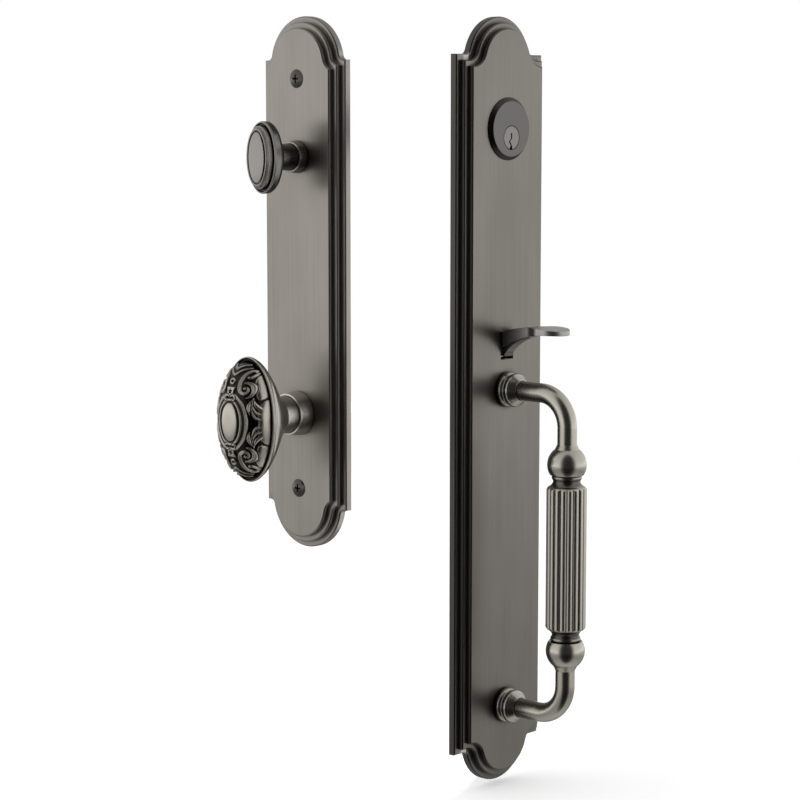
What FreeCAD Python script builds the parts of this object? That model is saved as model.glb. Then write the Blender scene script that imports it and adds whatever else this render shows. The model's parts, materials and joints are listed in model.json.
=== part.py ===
import FreeCAD, Part
import math
import os

# Entry door handleset: the outside half with lock cylinder, thumb piece and grip, and the
# inside half with turn and ornamental knob, standing at right angles to each other.
# Millimetres. +Z is up. Each half is drawn with its back on Y = 0 and its front facing -Y,
# with Z = 0 at the height of the latch. "out" is always the distance in front of the back.
# The outside half stays there; the inside half is turned to face -X and moved beside it.

os.makedirs("parts", exist_ok=True)
V = FreeCAD.Vector

# Where the inside half stands beside the outside half
inside_x = -54.0
inside_y = 85.3
inside_z = -15.2
inside_turn = -90.0

# Both halves
lock_spacing = 139.7            # deadbolt centre above latch centre
plate_thickness = 10.0
back_riser = 4.0                # lowest step of the moulded edge
middle_riser = 3.1
tread = 3.15                    # width of each of the two steps
edge_bevel = 0.6                # front edge of each step
front_wall = 4.0                # metal left in front of the hollow back
rim_wall = 3.0                  # metal left beside the hollow back
post_beyond_axis = 41.8         # through screws, above the deadbolt and below the latch
overcut = 1.0                   # how far cutting tools run past the metal
slip = 0.05                     # radial clearance of turning and sliding fits
fit_gap = 0.1                   # clearance round parts that only pass through
screw_end_gap = 0.8             # hole left beyond the end of a thread

# Outside plate
outside_width = 70.0
outside_above_lock = 39.3       # shoulder above the deadbolt centre
outside_below_grip = 23.2       # shoulder below the lower grip foot
outside_arch_radius = 25.2
outside_arch_rise = 20.0
outside_cove = 3.5

# Inside plate
inside_width = 61.0
inside_beyond_axis = 51.85      # shoulders above the turn and below the knob
inside_arch_radius = 26.2
inside_arch_rise = 23.4
inside_cove = 3.0

# Lock cylinder
cylinder_flange_radius = 16.6
cylinder_face_radius = 14.7
cylinder_proud = 2.3
cylinder_barrel_radius = 14.5
cylinder_depth = 14.0           # barrel behind the back of the plate
plug_drop = 4.65                # plug centre below cylinder centre
plug_radius = 6.0
plug_head_radius = 6.45
plug_head_depth = 1.5
plug_chamfer = 0.35
keyway_depth = 20.0
# Keyway as (x, height about the plug centre), down its right side and back up its left. None is the plug's edge.
keyway_right = ((-0.5, 2.4), (0.5, 2.4), (0.5, -0.4), (-1.1, -2.0), (0.6, -4.7), (0.6, None))
keyway_left = ((-1.4, None), (-1.4, -5.2), (-0.6, -4.4), (-2.1, -2.1), (-0.5, -0.6))
nut_radius = 19.2
nut_height = 4.2
nut_notch_width = 4.0
nut_notch_depth = 1.8
tail_width = 7.0
tail_thickness = 2.0
tail_end = 28.0                 # end of the tailpiece behind the plate
tail_seat = 3.0
cap_radius = 7.8
cap_thickness = 2.0
cap_screw_radius = 0.8
cap_screw_offset = 5.0
cap_screw_reach = 2.0           # into the plug
cap_screw_head_radius = 1.45
cap_screw_head_height = 1.0

# Grip
grip_length = 174.3             # between the axes of its two feet
grip_projection = 42.0          # from the plate face to the axis of the bar
tube_radius = 5.2
bend_radius = 17.5
ball_radius = 10.5
ball_cone_radius = 6.5          # where the tube flares into the ball
ball_cone_height = 2.6
ball_from_centre = 50.3         # ball centres, measured from the middle of the grip
seam_from_centre = 45.0
reed_half_length = 38.2
reed_count = 18
reed_crest_radius = 10.75
reed_groove_radius = 9.85
reed_crown = 0.8                # round of the reeds' ends, before the cap
cap_profile = ((0.9, 0.3), (1.3, 0.5))      # cap over the reeds: inside their crest, beyond their end
neck_radius = 7.3
neck_curve = (0.7, 1.7, 3.2)    # middle of the curve outside the neck and beyond the reeds, and its end
neck_end = 4.0                  # beyond the reeds
bead_start = 4.1
bead_radius = 8.1
bead_edge = 0.5                 # bead's rounding at each side
rosette_radius = 9.6
rosette_height = 11.0
# Profile of the rosette, as (inside its full radius, in front of the plate face)
rosette_foot = (0.5, 0.0)
rosette_lower_bead = ((0.0, 2.0), (1.1, 3.9))
rosette_groove = (1.3, 4.4)
rosette_upper_bead = ((0.45, 6.2), (1.6, 8.4))
rosette_neck = (2.6, 9.6)
rosette_mouth = 0.5             # metal round the arm at the top
grip_screw_radius = 2.5
grip_screw_reach = 14.0         # thread in the foot, from the plate face
grip_screw_head_radius = 4.6
grip_screw_head_height = 3.0
grip_washer_radius = 6.5
grip_washer_thickness = 1.0
tie_rod_radius = 2.5
tie_rod_reach = 9.0             # into each ball, from the seam

# Thumb piece
thumb_reach = 40.5
thumb_root_width = 9.4
thumb_pad_width = 19.2
thumb_pad_from_tip = 9.0        # where the round end begins, behind the tip
thumb_flare_start = 18.0        # from the plate face
thumb_flare_length = 10.0
thumb_top = 31.3                # top of the root above the latch
thumb_rise = 3.9                # crown of the top curve above the root
thumb_crown_share = 0.6         # of the reach
thumb_tip_drop = 1.4            # tip below the crown
thumb_tip_thickness = 2.3
thumb_underside = 22.7
thumb_underside_rise = 7.6      # at half the reach
thumb_sunk = 0.5                # blade and web begin this far behind the plate face
thumb_web_width = 6.6
thumb_web_foot = 18.2
thumb_web_reach = 18.0
thumb_web_lip = 1.2             # upright front of the foot
thumb_web_rise = 6.6            # middle of the web's curve above its foot
thumb_web_low = 29.4            # end of the web under the blade
thumb_web_high = 31.0
thumb_block_drop = 1.5          # block and lift tail below the top of the root
thumb_block_low = 6.0           # block below the pin
thumb_pivot_height = 26.0
thumb_pivot_out = 3.5
thumb_pin_radius = 1.45
pin_overhang = 0.2
thumb_hub_radius = 2.3
thumb_travel = 14.0             # degrees
slot_side_gap = 0.4
slot_end_gap = 0.5
bracket_thickness = 1.5
bracket_half_width = 15.0
bracket_half_height = 12.5
bracket_inner_half = 7.4
bracket_ear_half = 4.5
bracket_ear_back = 1.0          # behind the back plane
bracket_screw_radius = 1.5
bracket_screw_head_radius = 2.7
bracket_screw_head_height = 1.4
blind_depth = 2.6               # blind tapped holes in the front wall
lift_width = 8.0
lift_thickness = 2.5
lift_finger_bottom = 7.0        # lift finger above the latch centre
lift_finger_height = 3.0
lift_finger_end = 27.0
rivet_radius = 1.2
rivet_head_radius = 2.0
rivet_head_height = 0.9
rivet_side = 2.6
rivet_above = 2.8               # two rivets above the pin
rivet_below = 3.4               # and one below it
rivet_floor = 0.3               # metal between a rivet and the pin's bore
thumb_spring_wire = 0.5         # square wire
thumb_spring_radius = 2.1
thumb_spring_turns = 2.5
thumb_spring_pitch = 0.65
thumb_spring_side_gap = 0.2
thumb_spring_leg_top = 10.5     # upper leg ends this far above the pin
thumb_spring_leg_low = 9.0      # lower leg ends this far below the pin

# Mounting posts of the outside half
post_radius = 4.8
post_end = 16.0
post_stud_radius = 3.0
post_bore_radius = 2.1
post_bore_depth = 15.0

# Through screws of the inside half
through_screw_radius = 2.4      # threaded end
through_shank_radius = 2.7      # plain part in the plate
through_shank_end = 1.0         # behind the back of the plate
through_head_radius = 5.0
through_head_dome = 1.0
through_head_depth = 2.8
through_screw_end = 28.0
through_head_shoulder = 0.55    # share of the head radius where the dome falls away
through_head_fall = 0.78        # share of its height there
through_boss_radius = 6.0
recess_length = 4.6
recess_width = 1.1
recess_depth = 1.7

# Turn
turn_collar_base = 8.8
turn_collar_front = 8.2
turn_collar_height = 6.0
turn_neck_radius = 7.1
turn_journal_radius = 5.5
turn_spigot_radius = 7.4
turn_lip = 0.8
turn_half_width = 11.0
turn_half_height = 19.3
turn_back_out = 20.8            # back edge of the rim, from the plate face
turn_rim_out = 26.8
turn_face_out = 30.7
turn_socket_depth = 14.0
turn_stem_start = 3.0           # neck ends this far behind the back edge of the rim
turn_foot = (4.5, 0.3)          # start of the shell: behind that edge, and inside the neck's radius
# Shell as (behind that edge, share of half width, share of half height)
turn_shell = ((2.4, 0.79, 0.62), (0.7, 0.93, 0.86), (0.0, 0.97, 0.95))
# Sections as (in front of a face, inside the half width, inside the half height)
turn_band_back = ((1.5, 0.1, 0.1),)
turn_band_rim = ((-1.0, 0.0, 0.0), (-0.2, 0.3, 0.3), (0.0, 0.9, 0.9), (-1.0, 1.6, 1.6))
turn_step_back = (1.7, 1.9)
turn_step_rim = (1.9, 2.1)
turn_rings = ((-1.9, 2.1, 2.5), (-1.7, 2.8, 3.2), (-1.0, 3.0, 3.4), (-0.3, 3.3, 3.9), (-0.1, 3.8, 4.5),
              (-0.3, 4.3, 5.1), (-1.0, 4.5, 5.3))
turn_disc_back = (5.0, 5.9)
turn_disc = ((-0.3, 4.9, 5.6), (0.0, 5.3, 6.2), (0.2, 7.5, 9.4))

# Knob
knob_collar_base = 12.2
knob_collar_front = 11.3
knob_collar_height = 9.5
knob_shank_radius = 10.15
knob_journal_radius = 8.5
knob_spigot_radius = 10.8
knob_lip = 0.7
knob_half_width = 19.7          # at the lip
knob_half_height = 33.9
knob_seam_half_width = 18.2     # where face and back shell meet
knob_seam_half_height = 28.5
seam_step = 0.3                 # back shell stands this far inside the face
knob_neck_out = 17.0            # back of the shell, from the plate face
knob_seam_out = 30.6
knob_rim_out = 38.1             # front edge of the lip
# Back shell between neck and seam, as shares of (its length, half width, half height)
knob_shell_curve = ((0.22, 0.63, 0.48), (0.5, 0.74, 0.66), (0.8, 0.9, 0.87))
# Band of the face, as (in front of the seam or the rim, inside the half width, inside the half height)
knob_band_seam = ((1.9, 1.0, 3.0), (3.4, 0.6, 1.4), (4.6, 0.6, 0.8), (5.6, 0.1, 0.1))
knob_band_rim = ((-1.0, 0.0, 0.0), (-0.2, 0.15, 0.15), (0.0, 0.4, 0.4))
# Hollow behind the dome, as shares of (the dome's height, half width, half height)
knob_hollow = ((0.45, 0.75, 0.8), (0.75, 0.45, 0.5))
knob_lip_width = 0.75
knob_groove_width = 0.75
knob_groove_depth = 1.7
knob_dome_height = 14.5         # in front of the lip
knob_dome_power = 2.4           # 2 would be an ellipsoid, and more is flatter in front
dome_steps = (0, 4, 10, 18, 26, 34, 42)     # degrees
boss_steps = 5
knob_shell = 2.0
knob_wall = 3.2                 # rim wall of the face
spindle_side = 8.0
spindle_front = 21.0            # from the plate face
spindle_end = 28.0
spindle_chamfer = 0.6
set_screw_radius = 2.0
set_screw_out = 13.0
set_screw_sunk = 0.6
set_screw_key = 1.0             # corner radius of the hexagon
set_screw_key_depth = 1.6


# Middle of the knob's front: oval boss and two oval rims round it, with grooves between
boss_half_width = 5.95
boss_half_height = 10.3
boss_edge = 0.8                 # roll of the boss at its edge
rim_sizes = ((8.05, 12.1, 1.5, 0.9), (11.15, 15.0, 1.9, 1.5))   # half width, half height, width, drop
rim_groove_depth = 1.0
rim_shoulder = (0.7, 0.25)      # where a rim's top rounds off and how far it falls, as shares of half its width

# Return spring cassette of the knob
circlip_thickness = 1.2
circlip_width = 2.0
circlip_gap = 0.1
cup_bore_gap = 0.3              # round the journal
circlip_groove = 0.8
circlip_opening = 2.2
journal_end = 1.5               # journal behind its circlip
bush_shelf = 2.0                # shelf in the collar, in front of the plate face
bush_lip = 1.0                  # lip turned over behind the plate
bush_edge = 0.5
bush_foot = 0.8                 # straight foot before the taper begins
cup_radius = 17.0
cup_wall = 1.2
cup_front_out = 3.3
cup_depth = 10.3
cassette_screw_radius = 1.25
cassette_screw_circle = 13.5
cassette_head_radius = 2.2
cassette_head_height = 1.3
cassette_boss_radius = 1.9
hub_radius = 8.0
hub_lug_reach = 12.8
hub_lug_width = 2.4
hub_lug_thickness = 1.4
hub_lug_gap = 0.4               # between the lug and the cover
knob_spring_radius = 8.8        # inner turn of the flat spiral
knob_spring_strip = 0.5
knob_spring_height = 5.5
knob_spring_half_turns = 4
knob_spring_pitch = 1.1
knob_spring_seat = 0.9          # inner end in the slot of the hub
knob_spring_gap = 0.3
knob_swing = 60.0               # degrees each way
stop_width = 2.0
stop_overlap = 1.0
stop_spare = 1.5                # degrees of play before the lug meets its stop

# Sizes that follow from those above
hollow_out = plate_thickness - front_wall
grip_axis_out = plate_thickness + grip_projection
cylinder_face_out = plate_thickness + cylinder_proud
plug_z = lock_spacing - plug_drop


def box(x0, x1, y0, y1, z0, z1):
    return Part.makeBox(x1 - x0, y1 - y0, z1 - z0, V(x0, y0, z0))


def rod(radius, start, end):
    run = end.sub(start)
    return Part.makeCylinder(radius, run.Length, start, run)


def front_rod(radius, out_back, out_front, x=0.0, z=0.0):
    """Cylinder along Y between two distances in front of the back plane."""
    return rod(radius, V(x, -out_back, z), V(x, -out_front, z))


def outline(steps, place):
    """Closed wire. A step is a point, or a pair: a point on an arc and the arc's end."""
    first = place(*steps[0])
    here = first
    edges = []
    for step in steps[1:]:
        if isinstance(step[0], tuple):
            there = place(*step[1])
            edges.append(Part.Arc(here, place(*step[0]), there).toShape())
        else:
            there = place(*step)
            edges.append(Part.makeLine(here, there))
        here = there
    edges.append(Part.makeLine(here, first))
    return Part.Wire(edges)


def turned(steps, z=0.0):
    """Solid turned about the Y axis at height z, from steps of (radius, out)."""
    wire = outline(steps, lambda radius, out: V(radius, -out, z))
    return Part.Face(wire).revolve(V(0, 0, z), V(0, 1, 0), 360)


def side_prism(steps, width):
    """Solid from steps of (out, height), centred on X = 0."""
    wire = outline(steps, lambda out, height: V(-width / 2, -out, height))
    return Part.Face(wire).extrude(V(width, 0, 0))


def front_prism(steps, out_back, out_front):
    """Solid from steps of (x, z), between two distances in front of the back plane."""
    wire = outline(steps, lambda x, z: V(x, -out_back, z))
    return Part.Face(wire).extrude(V(0, out_back - out_front, 0))


def oval(half_width, half_height, out, z=0.0):
    top = V(0, -out, z + half_height)
    side = V(half_width, -out, z)
    return Part.Wire([Part.Ellipse(top, side, V(0, -out, z)).toShape()])


def oval_stack(sections, z=0.0, ruled=True):
    """Solid through ovals given as (out, half width, half height)."""
    wires = [oval(half_width, half_height, out, z) for out, half_width, half_height in sections]
    return Part.makeLoft(wires, True, ruled)


def oval_prism(half_width, half_height, out_back, out_front, z=0.0):
    return Part.Face(oval(half_width, half_height, out_back, z)).extrude(V(0, out_back - out_front, 0))


def square_coil(radius, wire, pitch, turns, start, axis):
    """Square wire wound about an axis that begins at start."""
    helix = Part.makeHelix(pitch, pitch * turns, radius)
    half = wire / 2
    corners = [(-half, -half), (half, -half), (half, half), (-half, half), (-half, -half)]
    section = Part.makePolygon([V(radius + x, 0, z) for x, z in corners])
    spring = Part.Wire(helix.Edges).makePipeShell([section], True, True)
    spring.Placement = FreeCAD.Placement(start, FreeCAD.Rotation(V(0, 0, 1), axis))
    return spring


def arched_face(width, top, bottom, radius, rise, cove, inset):
    """Plate outline on Y = 0 with an arch at each end, drawn in evenly by inset.

    Each arch stands on a shoulder and meets it in a small cove."""
    half = width / 2 - inset
    drop = radius - rise
    reach = radius + cove
    lift = cove + drop
    cove_x = math.sqrt(reach ** 2 - lift ** 2)
    arch = radius - inset
    hollow = cove + inset
    arch_start = math.atan2(lift, cove_x)
    arch_middle = (arch_start + math.pi / 2) / 2
    overhang = max(cove_x - half, 0.0)
    foot_angle = -math.pi / 2 - math.asin(overhang / hollow)
    cove_end = arch_start - math.pi
    cove_middle = (foot_angle + cove_end) / 2
    edges = []
    for side in (1, -1):
        for shoulder, up in ((top, 1), (bottom, -1)):
            def on(centre_x, centre_z, size, angle):
                x = centre_x + size * math.cos(angle)
                z = centre_z + size * math.sin(angle)
                return V(side * x, 0, shoulder + up * z)
            foot = on(cove_x, cove, hollow, foot_angle)
            join = on(0, -drop, arch, arch_start)
            edges.append(Part.Arc(foot, on(cove_x, cove, hollow, cove_middle), join).toShape())
            peak = V(0, 0, shoulder + up * (arch - drop))
            edges.append(Part.Arc(join, on(0, -drop, arch, arch_middle), peak).toShape())
            if cove_x < half:
                corner = V(side * half, 0, shoulder - up * inset)
                edges.append(Part.makeLine(foot, corner))
            else:
                corner = foot
            if up == 1:
                upper_corner = corner
        edges.append(Part.makeLine(upper_corner, corner))
    return Part.Face(Part.Wire(Part.__sortEdges__(edges)))


def moulded_plate(face_at):
    """Three tiers with bevelled front edges, hollow behind."""
    plate = None
    outs = (back_riser, back_riser + middle_riser, plate_thickness)
    for step, out in enumerate(outs):
        tier = face_at(step * tread).extrude(V(0, -out, 0))
        front = [edge for edge in tier.Edges if abs(edge.BoundBox.YMax + out) < 1e-6]
        tier = tier.makeChamfer(edge_bevel, front)
        plate = tier if plate is None else plate.fuse(tier)
    hollow = face_at(2 * tread + rim_wall).extrude(V(0, -hollow_out, 0))
    return plate.cut(hollow)


def outside_face(inset):
    top = lock_spacing + outside_above_lock
    bottom = -grip_length - outside_below_grip
    return arched_face(outside_width, top, bottom, outside_arch_radius, outside_arch_rise,
                       outside_cove, inset)


def inside_face(inset):
    top = lock_spacing + inside_beyond_axis
    return arched_face(inside_width, top, -inside_beyond_axis, inside_arch_radius,
                       inside_arch_rise, inside_cove, inset)


def post_heights():
    return (lock_spacing + post_beyond_axis, -post_beyond_axis)


def grip_heights():
    return (0.0, -grip_length)


def slot_bottom():
    """Lowest place that the root of the thumb piece reaches, with its gap."""
    forward = plate_thickness - thumb_pivot_out
    below = thumb_pivot_height - thumb_web_foot
    swing = math.radians(thumb_travel)
    return thumb_pivot_height - below * math.cos(swing) - forward * math.sin(swing) - slot_end_gap


def bracket_screw_places():
    x = (bracket_inner_half + bracket_thickness + bracket_half_width) / 2
    return [(side * x, thumb_pivot_height) for side in (-1, 1)]


def outside_plate():
    plate = moulded_plate(outside_face)
    through = plate_thickness + overcut
    tools = [front_rod(cylinder_barrel_radius + fit_gap, -overcut, through, z=lock_spacing)]
    half = thumb_root_width / 2 + slot_side_gap
    top = thumb_top + slot_end_gap
    tools.append(box(-half, half, -through, overcut, slot_bottom(), top))
    for z in grip_heights():
        tools.append(front_rod(grip_screw_radius + fit_gap, -overcut, through, z=z))
    for z in post_heights():
        tools.append(front_rod(post_stud_radius, hollow_out - overcut, hollow_out + blind_depth, z=z))
    for x, z in bracket_screw_places():
        tools.append(front_rod(bracket_screw_radius, hollow_out - overcut, hollow_out + blind_depth, x, z))
    for tool in tools:
        plate = plate.cut(tool)
    return plate.removeSplitter()


def mounting_posts():
    posts = []
    for z in post_heights():
        post = front_rod(post_radius, -post_end, hollow_out, z=z)
        post = post.fuse(front_rod(post_stud_radius, hollow_out, hollow_out + blind_depth, z=z))
        posts.append(post.cut(front_rod(post_bore_radius, -post_end, post_bore_depth - post_end, z=z)))
    return posts


def cylinder_housing():
    face = cylinder_face_out
    bevel = cylinder_flange_radius - cylinder_face_radius
    steps = [(0, face), (cylinder_face_radius, face), (cylinder_flange_radius, face - bevel),
             (cylinder_flange_radius, plate_thickness), (cylinder_barrel_radius, plate_thickness),
             (cylinder_barrel_radius, -cylinder_depth), (0, -cylinder_depth)]
    housing = turned(steps, lock_spacing)
    bore = front_rod(plug_radius + slip, -cylinder_depth - overcut, face, z=plug_z)
    mouth = front_rod(plug_head_radius + slip, face - plug_head_depth, face + overcut, z=plug_z)
    return housing.cut(bore.fuse(mouth))


def keyway():
    """Stepped slot, open at the bottom of the plug."""
    steps = [(x, plug_z + (-plug_head_radius if z is None else z)) for x, z in keyway_right + keyway_left]
    return front_prism(steps, cylinder_face_out - keyway_depth, cylinder_face_out + overcut)


def cylinder_plug():
    face = cylinder_face_out
    bevel = plug_chamfer
    steps = [(0, face), (plug_head_radius - bevel, face), (plug_head_radius, face - bevel),
             (plug_head_radius, face - plug_head_depth), (plug_radius, face - plug_head_depth),
             (plug_radius, -cylinder_depth - fit_gap), (0, -cylinder_depth - fit_gap)]
    plug = turned(steps, plug_z)
    plug = plug.cut(keyway())
    plug = plug.cut(deadbolt_tailpiece())
    for x in (-cap_screw_offset, cap_screw_offset):
        end = cap_outs()[1] + cap_screw_reach + fit_gap
        plug = plug.cut(front_rod(cap_screw_radius, -cylinder_depth - overcut, end, x, plug_z))
    return plug


def deadbolt_tailpiece():
    """Flat bar standing upright, seated in the back of the plug."""
    front = tail_seat - cylinder_depth - fit_gap
    thin = tail_thickness / 2
    half = tail_width / 2
    return box(-thin, thin, -front, tail_end, plug_z - half, plug_z + half)


def cap_outs():
    front = -cylinder_depth - fit_gap
    return front - cap_thickness, front


def plug_cap():
    back, front = cap_outs()
    cap = front_rod(cap_radius, back, front, z=plug_z)
    cap = cap.cut(deadbolt_tailpiece())
    for x in (-cap_screw_offset, cap_screw_offset):
        cap = cap.cut(front_rod(cap_screw_radius, back - overcut, front + overcut, x, plug_z))
    return cap


def cap_screws():
    back, front = cap_outs()
    screws = []
    for x in (-cap_screw_offset, cap_screw_offset):
        head = front_rod(cap_screw_head_radius, back - cap_screw_head_height, back, x, plug_z)
        screws.append(head.fuse(front_rod(cap_screw_radius, back, front + cap_screw_reach, x, plug_z)))
    return screws


def cylinder_nut():
    back = hollow_out - nut_height
    nut = front_rod(nut_radius, back, hollow_out, z=lock_spacing)
    nut = nut.cut(front_rod(cylinder_barrel_radius, back - overcut, hollow_out + overcut, z=lock_spacing))
    half = nut_notch_width / 2
    for turn in range(4):
        cutter = box(-half, half, -hollow_out - overcut, overcut,
                     nut_radius - nut_notch_depth, nut_radius + overcut)
        cutter.rotate(V(0, 0, 0), V(0, 1, 0), 45 + 90 * turn)
        cutter.translate(V(0, 0, lock_spacing))
        nut = nut.cut(cutter)
    return nut


def thumb_pin_axis(x0, x1, radius):
    y = -thumb_pivot_out
    return rod(radius, V(x0, y, thumb_pivot_height), V(x1, y, thumb_pivot_height))


def thumb_plan(start):
    """Outline from above as steps of (x, out): narrow root, flare and round end."""
    root = thumb_root_width / 2
    pad = thumb_pad_width / 2
    flare = plate_thickness + thumb_flare_start
    tip = plate_thickness + thumb_reach
    run = (pad - root) / 2
    rise = thumb_flare_length / 2
    radius = (run ** 2 + rise ** 2) / (2 * run)
    turn = math.atan2(run, rise)
    side = radius * (1 - math.cos(turn))
    along = radius * math.sin(turn)
    middle = (root + run, flare + rise)
    end = flare + thumb_flare_length
    widest = tip - thumb_pad_from_tip
    right = [((root + side, flare + along), middle), ((pad - side, end - along), (pad, end))]
    left = [((side - pad, end - along), (-middle[0], middle[1])), ((-root - side, flare + along), (-root, flare))]
    return ([(-root, start), (root, start), (root, flare)] + right
            + [(pad, widest), ((0, tip), (-pad, widest)), (-pad, end)] + left)


def thumb_piece():
    face = plate_thickness
    tip = face + thumb_reach
    back = face - thumb_sunk
    crown = thumb_top + thumb_rise
    top_middle = (face + thumb_crown_share * thumb_reach, crown)
    tip_top = crown - thumb_tip_drop
    under_middle = (face + thumb_reach / 2, thumb_underside + thumb_underside_rise)
    blade = side_prism([(back, thumb_top), (top_middle, (tip, tip_top)), (tip, tip_top - thumb_tip_thickness),
                        (under_middle, (back, thumb_underside))], thumb_pad_width)
    wire = outline(thumb_plan(back - overcut), lambda x, out: V(x, -out, 0))
    blade = blade.common(Part.Face(wire).extrude(V(0, 0, 2 * thumb_top)))
    root = thumb_root_width / 2
    web_end = face + thumb_web_reach
    web_middle = (face + thumb_web_reach / 2, thumb_web_foot + thumb_web_lip + thumb_web_rise)
    web = side_prism([(back, thumb_web_foot), (face + thumb_web_lip, thumb_web_foot),
                      (face + thumb_web_lip, thumb_web_foot + thumb_web_lip),
                      (web_middle, (web_end, thumb_web_low)), (web_end, thumb_web_high),
                      (back, thumb_top - thumb_block_drop)], thumb_web_width)
    neck = box(-root, root, -back, -thumb_pivot_out, thumb_web_foot, thumb_top)
    block = box(-root, root, -thumb_pivot_out, 0, thumb_pivot_height - thumb_block_low,
                thumb_top - thumb_block_drop)
    hub = thumb_pin_axis(2 * fit_gap - bracket_inner_half, 0, thumb_hub_radius)
    piece = blade.fuse([web, neck, block, hub])
    piece = piece.cut(thumb_pin_axis(-bracket_inner_half, thumb_root_width, thumb_pin_radius + slip))
    for x, z in rivet_places():
        piece = piece.cut(front_rod(rivet_radius, -overcut, rivet_depth(), x, z))
    return piece.removeSplitter()


def rivet_depth():
    return thumb_pivot_out - thumb_pin_radius - slip - rivet_floor


def rivet_places():
    above = thumb_pivot_height + rivet_above
    return [(-rivet_side, above), (rivet_side, above), (0.0, thumb_pivot_height - rivet_below)]


def lift_tail():
    half = lift_width / 2
    tail = box(-half, half, 0, lift_thickness, lift_finger_bottom, thumb_top - thumb_block_drop)
    finger_top = lift_finger_bottom + lift_finger_height
    tail = tail.fuse(box(-half, half, 0, lift_finger_end, lift_finger_bottom, finger_top))
    for x, z in rivet_places():
        tail = tail.cut(front_rod(rivet_radius, -lift_thickness, 0, x, z))
    return tail.removeSplitter()


def tail_rivets():
    rivets = []
    for x, z in rivet_places():
        shank = front_rod(rivet_radius, -lift_thickness, rivet_depth(), x, z)
        back = -lift_thickness - rivet_head_height
        rivets.append(shank.fuse(front_rod(rivet_head_radius, back, -lift_thickness, x, z)))
    return rivets


def thumb_bracket():
    low = thumb_pivot_height - bracket_half_height
    high = thumb_pivot_height + bracket_half_height
    wide = bracket_half_width
    back = hollow_out - bracket_thickness
    bracket = box(-wide, wide, -hollow_out, -back, low, high)
    window_low = slot_bottom() - slot_end_gap
    window_high = thumb_top + 3 * slot_end_gap
    inner = bracket_inner_half
    bracket = bracket.cut(box(-inner, inner, -hollow_out - overcut, overcut, window_low, window_high))
    for side in (-1, 1):
        near = min(side * inner, side * (inner + bracket_thickness))
        ear = box(near, near + bracket_thickness, -hollow_out, bracket_ear_back,
                  thumb_pivot_height - bracket_ear_half, thumb_pivot_height + bracket_ear_half)
        bracket = bracket.fuse(ear)
    bracket = bracket.cut(thumb_pin_axis(-wide, wide, thumb_pin_radius))
    for x, z in bracket_screw_places():
        bracket = bracket.cut(front_rod(bracket_screw_radius, back - overcut, hollow_out + overcut, x, z))
    return bracket.removeSplitter()


def bracket_screws():
    screws = []
    back = hollow_out - bracket_thickness
    for x, z in bracket_screw_places():
        head = front_rod(bracket_screw_head_radius, back - bracket_screw_head_height, back, x, z)
        screws.append(head.fuse(front_rod(bracket_screw_radius, back, hollow_out + blind_depth, x, z)))
    return screws


def thumb_pivot_pin():
    end = bracket_inner_half + bracket_thickness + pin_overhang
    return thumb_pin_axis(-end, end, thumb_pin_radius)


def thumb_spring():
    """Torsion spring on the pin: one leg on the bracket, the other behind the lift tail."""
    wire = thumb_spring_wire
    radius = thumb_spring_radius
    y = -thumb_pivot_out
    z = thumb_pivot_height
    near = thumb_root_width / 2 + thumb_spring_side_gap
    start = V(near + wire / 2, y, z)
    body = square_coil(radius, wire, thumb_spring_pitch, thumb_spring_turns, start, V(1, 0, 0))
    far = near + thumb_spring_pitch * thumb_spring_turns
    bracket_y = bracket_thickness - hollow_out
    upper = box(far, far + wire, bracket_y, bracket_y + wire, z + radius - wire / 2, z + thumb_spring_leg_top)
    foot = z - thumb_spring_leg_low
    leg = side_prism([(-y, z - radius - wire / 2), (-y, z - radius + wire / 2),
                      (-lift_thickness - wire, foot + wire), (-lift_thickness - wire, foot),
                      (-lift_thickness, foot)], wire)
    leg.translate(V(near + wire / 2, 0, 0))
    hook = box(0, near + wire, lift_thickness, lift_thickness + wire, foot, foot + wire)
    return body.fuse([upper, leg, hook])


def rosette(z):
    """Two beads with a groove between them, drawn in to the arm."""
    face = plate_thickness
    bore = tube_radius + slip
    top = face + rosette_height

    def at(place):
        return (rosette_radius - place[0], face + place[1])

    steps = [(bore, face), at(rosette_foot), tuple(at(place) for place in rosette_lower_bead),
             at(rosette_groove), tuple(at(place) for place in rosette_upper_bead),
             (at(rosette_neck), (bore + rosette_mouth, top)), (bore, top)]
    return turned(steps, z)


def mirror_grip(shape):
    """Other end of the grip, mirrored about its middle height."""
    middle = V(0, 0, -grip_length / 2)
    return shape.mirror(middle, V(0, 0, 1))


def grip_upper_arm():
    face = -plate_thickness
    axis_y = -grip_axis_out
    seam_z = seam_from_centre - grip_length / 2
    ball_z = ball_from_centre - grip_length / 2
    bend_y = axis_y + bend_radius
    arm = rod(tube_radius, V(0, face, 0), V(0, bend_y, 0))
    ring = Part.Face(Part.Wire([Part.makeCircle(tube_radius, V(0, bend_y, 0), V(0, 1, 0))]))
    arm = arm.fuse(ring.revolve(V(0, bend_y, -bend_radius), V(1, 0, 0), 90))
    arm = arm.fuse(rod(tube_radius, V(0, axis_y, -bend_radius), V(0, axis_y, ball_z)))
    ball = Part.makeSphere(ball_radius, V(0, axis_y, ball_z))
    keep = box(-ball_radius, ball_radius, axis_y - ball_radius, axis_y + ball_radius,
               seam_z, ball_z + ball_radius)
    arm = arm.fuse(ball.common(keep))
    cone_z = ball_z + math.sqrt(ball_radius ** 2 - ball_cone_radius ** 2)
    cone = Part.makeCone(ball_cone_radius, tube_radius, ball_cone_height, V(0, axis_y, cone_z), V(0, 0, 1))
    arm = arm.fuse(cone)
    arm = arm.cut(rod(tie_rod_radius, V(0, axis_y, seam_z), V(0, axis_y, seam_z + tie_rod_reach)))
    screw_end = face - grip_screw_reach
    arm = arm.cut(rod(grip_screw_radius, V(0, face, 0), V(0, screw_end, 0)))
    return arm.removeSplitter()


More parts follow.
